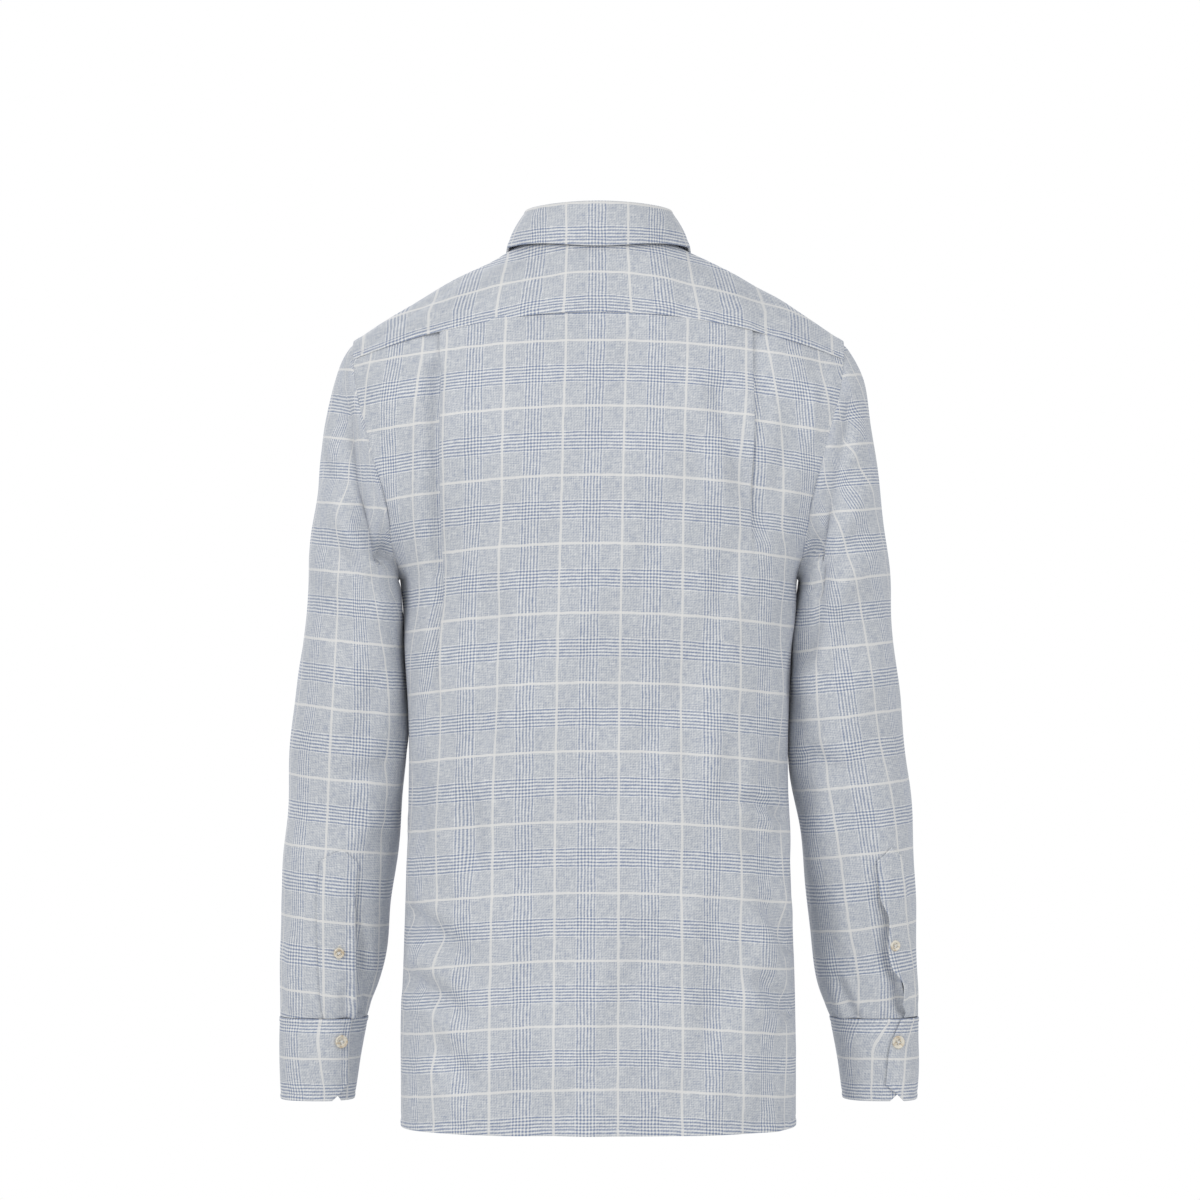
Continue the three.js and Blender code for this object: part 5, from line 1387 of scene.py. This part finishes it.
def make_sleeve(side):
    thickness = bpy.context.scene.shirt_cloth.thickness
    heights_down = np.concatenate([np.linspace(SLEEVE[0][1], SLIT_TOP_Z, 152), np.linspace(SLIT_TOP_Z, -665, 34)[1:]])
    levels = sleeve_row_at(heights_down)
    base = np.linspace(-180, 180, 121)
    slit, gape, down = slit_degrees(side, levels)
    cut = int(np.argmin(np.abs(base - slit[0])))
    shift = (slit - base[cut]) * ease((levels - 6) / 2.5)
    window = np.interp(base, [-180, base[cut], 180], [0, 1, 0])
    degrees = base[None] + shift[:, None] * window[None]
    opening = np.where(levels > sleeve_row_at(SLIT_TOP_Z) + 1e-6, gape / 2, 0)
    before, after = degrees[:, : cut + 1].copy(), degrees[:, cut:].copy()
    reach = np.linspace(0, 1, 4)
    before[:, -4:] -= opening[:, None] * reach[None]
    after[:, :4] += opening[:, None] * reach[::-1][None]
    degrees = np.concatenate([before, after], axis=1)
    at = np.broadcast_to(levels[:, None], degrees.shape)
    whole_at = np.broadcast_to(levels[:, None], (len(levels), len(base)))
    whole, whole_ways, whole_heights = sleeve_surface(side, whole_at, degrees[:, [*range(cut + 1), *range(cut + 2, degrees.shape[1])]], True)
    columns = [*range(cut + 1), *range(cut, len(base))]
    beside = (degrees[:, [*range(cut + 1), *range(cut + 2, degrees.shape[1])]] - placket_edge(side, levels)[:, None]) / 10
    sunk = SLEEVE_SINKS[side] * ease((levels - sleeve_row_at(SLIT_TOP_Z + 20)) / 0.6) * ease((SLEEVE_LAST - levels) / 0.8)
    whole_heights = whole_heights - sunk[:, None] * np.exp(-(beside**2))
    net = sleeve_base(at, degrees)
    ways, heights = whole_ways[:, columns], whole_heights[:, columns]
    start = row_sums(net, axis=0)
    heights = heights - 1.3 * (1 - ease(start / 9))
    weave = sleeve_weave(side, net, levels, degrees)
    net = lifted(net, ways, heights)
    if side == "right":
        net, ways = mirrored(net), mirrored(ways)
    name = f"sleeve_cloth_{side}"
    cloth_piece(name, net, weave, ways, thickness, f"sleeve_{side}", closed=True, cut=cut)


def make_gauntlet(side):
    thickness = bpy.context.scene.shirt_cloth.thickness
    wall = thickness / MM
    wrist = WRISTS[side]
    end = SLEEVE_LAST - GAUNTLET["above_cuff"] / (SLEEVE[-2][1] - SLEEVE[-1][1])
    slit_row, top_row = sleeve_row_at([SLIT_TOP_Z, SLIT_TOP_Z + GAUNTLET["above_slit"]])
    levels = np.concatenate([np.linspace(top_row, slit_row, 14), np.linspace(slit_row, end, 46)[1:]])
    down = np.clip((levels - slit_row) / (end - slit_row), 0, 1)[:, None]
    share = np.linspace(0, 1, 17)[None]
    fading = np.clip(1 - (levels - top_row) / (slit_row - top_row), 0, 1)[:, None]
    tip = GAUNTLET["tip"] * (1 - np.abs(2 * share - 1)) * fading
    at = levels[:, None] - tip / GAUNTLET["row_height"]
    width = mix(GAUNTLET["top_width"], GAUNTLET["foot_width"], down)
    free_edge = mix(wrist["slit_top"], wrist["slit_foot"], down)
    far_edge = free_edge - width
    if side == "right":
        heights_down = np.interp(levels, np.arange(len(SLEEVE)), [row[1] for row in SLEEVE])
        free_edge = right_gauntlet_edge(heights_down)[:, None]
    degrees = mix(free_edge, far_edge, share)
    net, ways, heights = sleeve_surface(side, at, degrees)
    lift = np.full(net.shape[:2], float(LAYER))
    if side == "right":
        standing = np.sin(np.pi * np.clip((down - 0.12) / 0.84, 0, 1)) * ease((0.45 - share) / 0.45)
        waves = np.sin(down * 14 + 0.6) * ease((0.4 - share) / 0.4) * ease(down * 4) * ease((1 - down) * 5)
        lift = lift + GAUNTLET_STANDS * standing + GAUNTLET_WAVES * waves
    else:
        lift = lift + 1.4 * ease((0.3 - share) / 0.3) * ease(down * 5)
    edge = np.minimum(share, 1 - share) * 24
    lift = lift + 0.3 * np.sin(np.pi * np.clip(edge / 3, 0, 1))
    weave = sleeve_weave(side, net, levels, degrees)
    net = lifted(net, ways, heights + lift)
    if side == "right":
        net, ways = mirrored(net), mirrored(ways)
    name = f"gauntlet_cloth_{side}"
    cloth_piece(name, net, weave, ways, thickness, f"gauntlet_{side}")
    lines = []
    for which in ("first_column", "last_column"):
        points, up = line_in(net, ways, wall, 2, which)
        lines.append((points[2:-1], up[2:-1]))
    lines.append(line_in(net, ways, wall, 2, "first_row"))
    box_row = 13
    lines.append(inset_line(net, ways, wall, row=box_row))
    stitching(f"stitching_gauntlet_{side}", lines)


def cuff_point(side, rounds, down, lift):
    """A point of a cuff on the left side, round the wrist from its upper end, down from its seam."""
    rounds, down = np.broadcast_arrays(np.asarray(rounds, dtype=float), np.asarray(down, dtype=float))
    outer_x, _, inner_x, _, middle_y, half_depth = SLEEVE[-1]
    z = mix(CUFF["top_z"], CUFF["foot_z"], down)
    columns = (
        mix(outer_x, CUFF["outer_x"], down),
        z,
        mix(inner_x, CUFF["inner_x"], down),
        z,
        middle_y,
        mix(half_depth, CUFF["half_depth"], down),
    )
    degrees = cuff_edge[side](down) - rounds
    placed = ring_point(columns, degrees)
    tangent = ring_point(columns, degrees + 1) - ring_point(columns, degrees - 1)
    outwards = unit(np.cross(tangent, place(0, 0, 1)))
    ramp, lap = CUFF_LAP["ramp"], CUFF_LAP["degrees"]
    on_top = CUFF_LAP["step"] * ease((lap + ramp - rounds) / ramp)
    return placed + outwards * (on_top + lift)[..., None], outwards


def make_cuff(side):
    double = bpy.context.scene.shirt_cloth.double
    wall = double / MM
    cut = CUFF_MITRE["degrees"]
    rounds = np.concatenate(
        [
            np.linspace(0, cut, 12),
            np.linspace(cut, ROUND_THE_WRIST - cut, 112)[1:-1],
            np.linspace(ROUND_THE_WRIST - cut, ROUND_THE_WRIST, 12),
        ]
    )[None]
    t = np.array([0, 0.02, 0.045, 0.07, 0.1, *np.linspace(0.14, 0.86, 19), 0.9, 0.93, 0.955, 0.98, 1])[:, None]
    from_end = np.minimum(rounds, ROUND_THE_WRIST - rounds)
    mitre = CUFF_MITRE["height"] * np.clip(1 - from_end / cut, 0, 1)
    height = CUFF["top_z"] - CUFF["foot_z"]
    down = t * (1 - mitre / height)
    net, ways = cuff_point(side, np.broadcast_to(rounds, down.shape), down, np.zeros_like(down))
    fall = row_sums(net, axis=0)
    around = row_sums(net)
    edge = np.minimum(np.minimum(fall, fall[-1:] - fall), np.minimum(around, around[:, -1:] - around))
    swell = hem_roll(edge, 5.5, 0.4) + 0.5 * np.sin(np.pi * t) + undulation(net, 7 if side == "left" else 8) * 0.5
    middle = net.shape[0] // 2
    behind = np.where(ways[middle, :, 1] > 0.5)[0]
    cream_x = 242.5 if side == "left" else 240
    column = behind[np.argmin(np.abs(net[middle, behind, 0] - cream_x))]
    across = around[middle] - around[middle, column]
    weave = np.stack([np.broadcast_to(across, around.shape), net[..., 2] + 699.5], axis=-1)
    net = lifted(net, ways, swell)
    if side == "right":
        net, ways = mirrored(net), mirrored(ways)
    cloth_piece(f"cuff_cloth_{side}", net, weave, ways, double, f"cuff_{side}")
    lines = []
    for which in ("first_row", "last_row", "first_column", "last_column"):
        points, up = line_in(net, ways, wall, 5.5, which)
        lines.append((points[2:-2], up[2:-2]))
    stitching(f"stitching_cuff_{side}", lines)


# Buttons
def button_mesh(name, diameter):
    """A turned button with a raised rim, a sunk middle and four sewing holes, in millimetres."""
    radius, high = diameter / 2, BUTTON_THICKNESS
    bm = bmesh.new()
    profile = (
        (0.0, 0.0),
        (radius - 0.9, 0.0),
        (radius - 0.25, 0.35),
        (radius, 0.95),
        (radius - 0.05, 1.7),
        (radius - 0.5, high - 0.1),
        (radius - 1.0, high),
        (radius - 1.5, high - 0.2),
        (radius - 2.1, high - 0.75),
        (0.0, high - 0.95),
    )
    verts = [bm.verts.new((x, 0, z)) for x, z in profile]
    edges = [bm.edges.new((a, b)) for a, b in zip(verts, verts[1:])]
    bmesh.ops.spin(
        bm, geom=verts + edges, cent=(0, 0, 0), axis=(0, 0, 1), angle=2 * math.pi, steps=48, use_merge=True
    )
    bmesh.ops.remove_doubles(bm, verts=bm.verts, dist=0.001)
    bmesh.ops.recalc_face_normals(bm, faces=bm.faces)
    mesh = bpy.data.meshes.new(name)
    bm.to_mesh(mesh)
    bm.free()
    holes = bmesh.new()
    for x, y in ((1, 1), (-1, 1), (-1, -1), (1, -1)):
        spread = BUTTON_HOLE_SPREAD / math.sqrt(2)
        at = Matrix.Translation((x * spread, y * spread, high / 2))
        bmesh.ops.create_cone(
            holes, cap_ends=True, segments=16, radius1=BUTTON_HOLE, radius2=BUTTON_HOLE, depth=high * 2, matrix=at
        )
    drill_mesh = bpy.data.meshes.new(f"{name}_holes")
    holes.to_mesh(drill_mesh)
    holes.free()
    blank = bpy.data.objects.new(f"{name}_blank", mesh)
    drill = bpy.data.objects.new(f"{name}_drill", drill_mesh)
    for thing in (blank, drill):
        bpy.context.scene.collection.objects.link(thing)
    cutter = blank.modifiers.new("Holes", "BOOLEAN")
    cutter.operation = "DIFFERENCE"
    cutter.object = drill
    cutter.solver = "EXACT"
    bpy.context.view_layer.update()
    drilled = bpy.data.meshes.new_from_object(blank.evaluated_get(bpy.context.evaluated_depsgraph_get()))
    for thing in (blank, drill):
        bpy.data.objects.remove(thing)
    for polygon in drilled.polygons:
        polygon.use_smooth = abs(polygon.normal.z) < 0.999 and polygon.area > 0.02
    drilled.materials.clear()
    drilled.materials.append(button_material())
    return drilled


def sew_button(name, node, diameter, at, way, turn, slot_length, slot_way, aside=0):
    """Places a button with its crossed thread, and a thread-bound buttonhole under it."""
    way, slot_way = Vector(way).normalized(), Vector(slot_way).normalized()
    seat = Vector(at) + way * BUTTON_GAP
    aim = way.to_track_quat("Z", "Y").to_matrix().to_4x4()
    spun = Matrix.Rotation(math.radians(turn), 4, "Z")
    matrix = Matrix.Scale(MM, 4) @ Matrix.Translation(seat) @ aim @ spun
    mesh = button_mesh(name, diameter)
    mesh.transform(matrix)
    piece = bpy.data.objects.new(f"{name}_shell", mesh)
    bpy.context.scene.collection.objects.link(piece)
    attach(piece, "root")
    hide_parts(node)
    bm = bmesh.new()
    spread = BUTTON_HOLE_SPREAD / math.sqrt(2)
    floor = BUTTON_THICKNESS - 0.95
    for x, y in ((1, 1), (-1, 1), (-1, -1), (1, -1)):
        tube = Matrix.Translation((x * spread, y * spread, floor / 2 - 0.1)) @ Matrix.Diagonal((1, 1, 1, 1))
        bmesh.ops.create_cone(bm, segments=8, radius1=0.5, radius2=0.5, depth=floor + 0.7, matrix=matrix @ tube, cap_ends=True)
    for angle in (45, 135):
        for offset in (-0.22, 0.22):
            bar = Matrix.Translation((0, 0, floor + 0.25)) @ Matrix.Rotation(math.radians(angle), 4, "Z")
            bar = bar @ Matrix.Translation((0, offset, 0.1 if angle == 45 else -0.02))
            bar = bar @ Matrix.Diagonal((BUTTON_HOLE_SPREAD + 0.45, 0.26, 0.3, 1))
            bmesh.ops.create_icosphere(bm, subdivisions=2, radius=1, matrix=matrix @ bar)
    across = way.cross(slot_way).normalized()
    half = slot_length / 2
    at = Vector(at) + slot_way * aside
    for k in range(round(slot_length / 0.62)):
        along = -half + 0.31 + 0.62 * k
        for edge in (-0.75, 0.75):
            spot = Vector(at) + slot_way * along + across * edge + way * 0.18
            turned = Matrix((across, slot_way, way)).transposed().to_4x4()
            size = Matrix.Diagonal((0.85, 0.3, 0.3, 1))
            put = Matrix.Scale(MM, 4) @ Matrix.Translation(spot) @ turned @ size
            bmesh.ops.create_icosphere(bm, subdivisions=1, radius=1, matrix=put)
    for end in (-half, half):
        spot = Vector(at) + slot_way * end + way * 0.18
        turned = Matrix((across, slot_way, way)).transposed().to_4x4()
        size = Matrix.Diagonal((1.5, 0.42, 0.36, 1))
        put = Matrix.Scale(MM, 4) @ Matrix.Translation(spot) @ turned @ size
        bmesh.ops.create_icosphere(bm, subdivisions=2, radius=1, matrix=put)
    for face in bm.faces:
        face.smooth = True
    thread = bpy.data.meshes.new(f"{name}_thread")
    bm.to_mesh(thread)
    bm.free()
    thread.materials.append(thread_material("Button thread", bpy.context.scene.shirt_buttons.thread))
    sewn = bpy.data.objects.new(f"{name}_thread", thread)
    bpy.context.scene.collection.objects.link(sewn)
    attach(sewn, "root")


def make_buttons():
    cloth = bpy.context.scene.shirt_cloth
    single, double = cloth.thickness / MM, cloth.double / MM
    for k, z in enumerate(FRONT_BUTTONS):
        height = np.array(float(z))
        at = front_surface(height, np.array(1e-4), 2 * LAYER + single / 2)
        at[0] = 0
        rise = front_base(height + 1, np.array(0.0)) - front_base(height - 1, np.array(0.0))
        way = unit(np.cross(unit(place(1, 0, 0)), rise))
        node = f"button_front_{k + 1}"
        sew_button(f"front_button_{k + 1}", node, BUTTON_SIZES["front"], at, way, 8 * k, 15, rise)
    foot = stand_point(180, 0.5, np.array(float(STAND["step"])))
    rise = stand_point(180, 1.0, np.array(0.0)) - stand_point(180, 0.0, np.array(0.0))
    way = unit(np.cross(place(1, 0, 0), rise))
    at = foot + way * double / 2
    sew_button("collar_button", "button_collar", BUTTON_SIZES["front"], at, way, 20, 15, (1, 0, 0))
    for side in ("left", "right"):
        gauntlet_z, cuff_z = WRIST_BUTTONS[side]
        row = sleeve_row_at(gauntlet_z)
        middle, _, _ = slit_degrees(side, row)
        at = row + np.array([-0.05, 0, 0.05])[:, None]
        degrees = float(middle) + GAUNTLET_BUTTON_ASIDE[side] + np.array([-2.0, 0, 2.0])[None]
        net, ways, heights = sleeve_surface(side, np.broadcast_to(at, (3, 3)), np.broadcast_to(degrees, (3, 3)))
        spot = net[1, 1] + ways[1, 1] * (heights[1, 1] + LAYER + single / 2)
        along = net[0, 1] - net[2, 1]
        way = ways[1, 1]
        if side == "right":
            spot, along, way = (mirrored(v) for v in (spot, along, way))
        size = BUTTON_SIZES["gauntlet"]
        sew_button(f"gauntlet_button_{side}", f"button_gauntlet_{side}", size, spot, way, 12, 13, along)
        share = (CUFF["top_z"] - cuff_z) / (CUFF["top_z"] - CUFF["foot_z"])
        swell = 0.5 * math.sin(math.pi * share)
        rounds = CUFF_BUTTON_ROUND[side]
        spot, way = cuff_point(side, rounds, share, np.array(double / 2 + swell))
        beside, _ = cuff_point(side, rounds + 3, share, np.array(double / 2))
        along = beside - spot
        if side == "right":
            spot, along, way = (mirrored(v) for v in (spot, along, way))
        size = BUTTON_SIZES["cuff"]
        name, node = f"cuff_button_{side}", f"button_cuff_{side}"
        sew_button(name, node, size, spot, way, 30, 17, along, BUTTONHOLE_ASIDE)


# Stage
CAMERA_AT = (-0.0013, 5.0, -0.301)
CAMERA_LENS = 172.4


def make_stage():
    scene = bpy.context.scene
    look = scene.shirt_stage
    camera_data = bpy.data.cameras.new("Camera")
    camera_data.lens = CAMERA_LENS
    camera_data.sensor_width = 36
    camera = bpy.data.objects.new("Camera", camera_data)
    camera.location = CAMERA_AT
    camera.rotation_euler = (math.radians(90), 0, math.radians(180))
    scene.collection.objects.link(camera)
    scene.camera = camera
    world = bpy.data.worlds.new("White studio")
    scene.world = world
    world.use_nodes = True
    tree = world.node_tree
    tree.nodes.clear()
    paths = tree.nodes.new("ShaderNodeLightPath")
    seen = tree.nodes.new("ShaderNodeBackground")
    seen.inputs[0].default_value = (1, 1, 1, 1)
    light = tree.nodes.new("ShaderNodeBackground")
    light.inputs[0].default_value = (0.96, 0.98, 1, 1)
    light.inputs[1].default_value = look.ambient
    pick = tree.nodes.new("ShaderNodeMixShader")
    out = tree.nodes.new("ShaderNodeOutputWorld")
    tree.links.new(paths.outputs["Is Camera Ray"], pick.inputs[0])
    tree.links.new(light.outputs[0], pick.inputs[1])
    tree.links.new(seen.outputs[0], pick.inputs[2])
    tree.links.new(pick.outputs[0], out.inputs[0])
    lamps = (
        ("Key", (2.2, 2.4, 0.8), 2.0, look.key),
        ("Fill", (-1.9, 2.6, 0.2), 2.0, look.fill),
        ("Front", (0.8, -2.8, 1.2), 2.4, look.key * 1.2),
    )
    for name, at, size, power in lamps:
        lamp = bpy.data.lights.new(name, "AREA")
        lamp.shape = "DISK"
        lamp.size = size
        lamp.energy = power
        holder = bpy.data.objects.new(name, lamp)
        holder.location = at
        aim = Vector((0, 0, -0.35)) - Vector(at)
        holder.rotation_euler = aim.to_track_quat("-Z", "Y").to_euler()
        scene.collection.objects.link(holder)
    scene.view_settings.view_transform = "Standard"


# Operators
class SHIRT_OT_back(bpy.types.Operator):
    """Sews the back with its two side pleats"""

    bl_idname = "shirt.back"
    bl_label = "Back"

    def execute(self, context):
        make_back()
        return {"FINISHED"}


class SHIRT_OT_fronts(bpy.types.Operator):
    """Sews the two fronts and the placket"""

    bl_idname = "shirt.fronts"
    bl_label = "Fronts and placket"

    def execute(self, context):
        make_fronts()
        return {"FINISHED"}


class SHIRT_OT_yoke(bpy.types.Operator):
    """Sews the yoke over the shoulders"""

    bl_idname = "shirt.yoke"
    bl_label = "Yoke"

    def execute(self, context):
        make_yoke()
        return {"FINISHED"}


class SHIRT_OT_collar(bpy.types.Operator):
    """Sews the collar and its stand"""

    bl_idname = "shirt.collar"
    bl_label = "Collar"

    def execute(self, context):
        make_collar()
        return {"FINISHED"}


class SHIRT_OT_sleeves(bpy.types.Operator):
    """Sews the two sleeves with their slits"""

    bl_idname = "shirt.sleeves"
    bl_label = "Sleeves"

    def execute(self, context):
        for side in ("left", "right"):
            make_sleeve(side)
        return {"FINISHED"}


class SHIRT_OT_gauntlets(bpy.types.Operator):
    """Sews the plackets on the sleeve slits"""

    bl_idname = "shirt.gauntlets"
    bl_label = "Sleeve plackets"

    def execute(self, context):
        for side in ("left", "right"):
            make_gauntlet(side)
        return {"FINISHED"}


class SHIRT_OT_cuffs(bpy.types.Operator):
    """Sews the two cuffs"""

    bl_idname = "shirt.cuffs"
    bl_label = "Cuffs"

    def execute(self, context):
        for side in ("left", "right"):
            make_cuff(side)
        return {"FINISHED"}


class SHIRT_OT_buttons(bpy.types.Operator):
    """Sews on every button, with its thread and buttonhole"""

    bl_idname = "shirt.buttons"
    bl_label = "Buttons"

    def execute(self, context):
        make_buttons()
        return {"FINISHED"}


class SHIRT_OT_stage(bpy.types.Operator):
    """Sets up the camera, lights and white backdrop"""

    bl_idname = "shirt.stage"
    bl_label = "Stage"

    def execute(self, context):
        make_stage()
        return {"FINISHED"}


STEPS = (
    SHIRT_OT_yoke,
    SHIRT_OT_back,
    SHIRT_OT_fronts,
    SHIRT_OT_collar,
    SHIRT_OT_sleeves,
    SHIRT_OT_gauntlets,
    SHIRT_OT_cuffs,
    SHIRT_OT_buttons,
    SHIRT_OT_stage,
)


class SHIRT_PT_panel(bpy.types.Panel):
    """Steps of sewing the shirt"""

    bl_idname = "SHIRT_PT_panel"
    bl_label = "Flannel shirt"
    bl_space_type = "VIEW_3D"
    bl_region_type = "UI"
    bl_category = "Shirt"

    def draw(self, context):
        for group in GROUPS.values():
            box = self.layout.box()
            for name in group.__annotations__:
                box.prop(getattr(context.scene, group_name(group)), name)
        for step in STEPS:
            self.layout.operator(step.bl_idname)


GROUPS = {
    "shirt_cloth": ShirtCloth,
    "shirt_sewing": ShirtSewing,
    "shirt_buttons": ShirtButtons,
    "shirt_stage": ShirtStage,
}


def group_name(group):
    return next(name for name, kind in GROUPS.items() if kind is group)


def register():
    for kind in (*GROUPS.values(), *STEPS, SHIRT_PT_panel):
        bpy.utils.register_class(kind)
    for name, group in GROUPS.items():
        setattr(bpy.types.Scene, name, PointerProperty(type=group))


def unregister():
    for name in GROUPS:
        delattr(bpy.types.Scene, name)
    for kind in reversed((*GROUPS.values(), *STEPS, SHIRT_PT_panel)):
        bpy.utils.unregister_class(kind)


def main():
    register()
    bpy.ops.shirt.yoke()
    bpy.ops.shirt.back()
    bpy.ops.shirt.fronts()
    bpy.ops.shirt.collar()
    bpy.ops.shirt.sleeves()
    bpy.ops.shirt.gauntlets()
    bpy.ops.shirt.cuffs()
    bpy.ops.shirt.buttons()
    bpy.ops.shirt.stage()


if __name__ == "__main__":
    main()
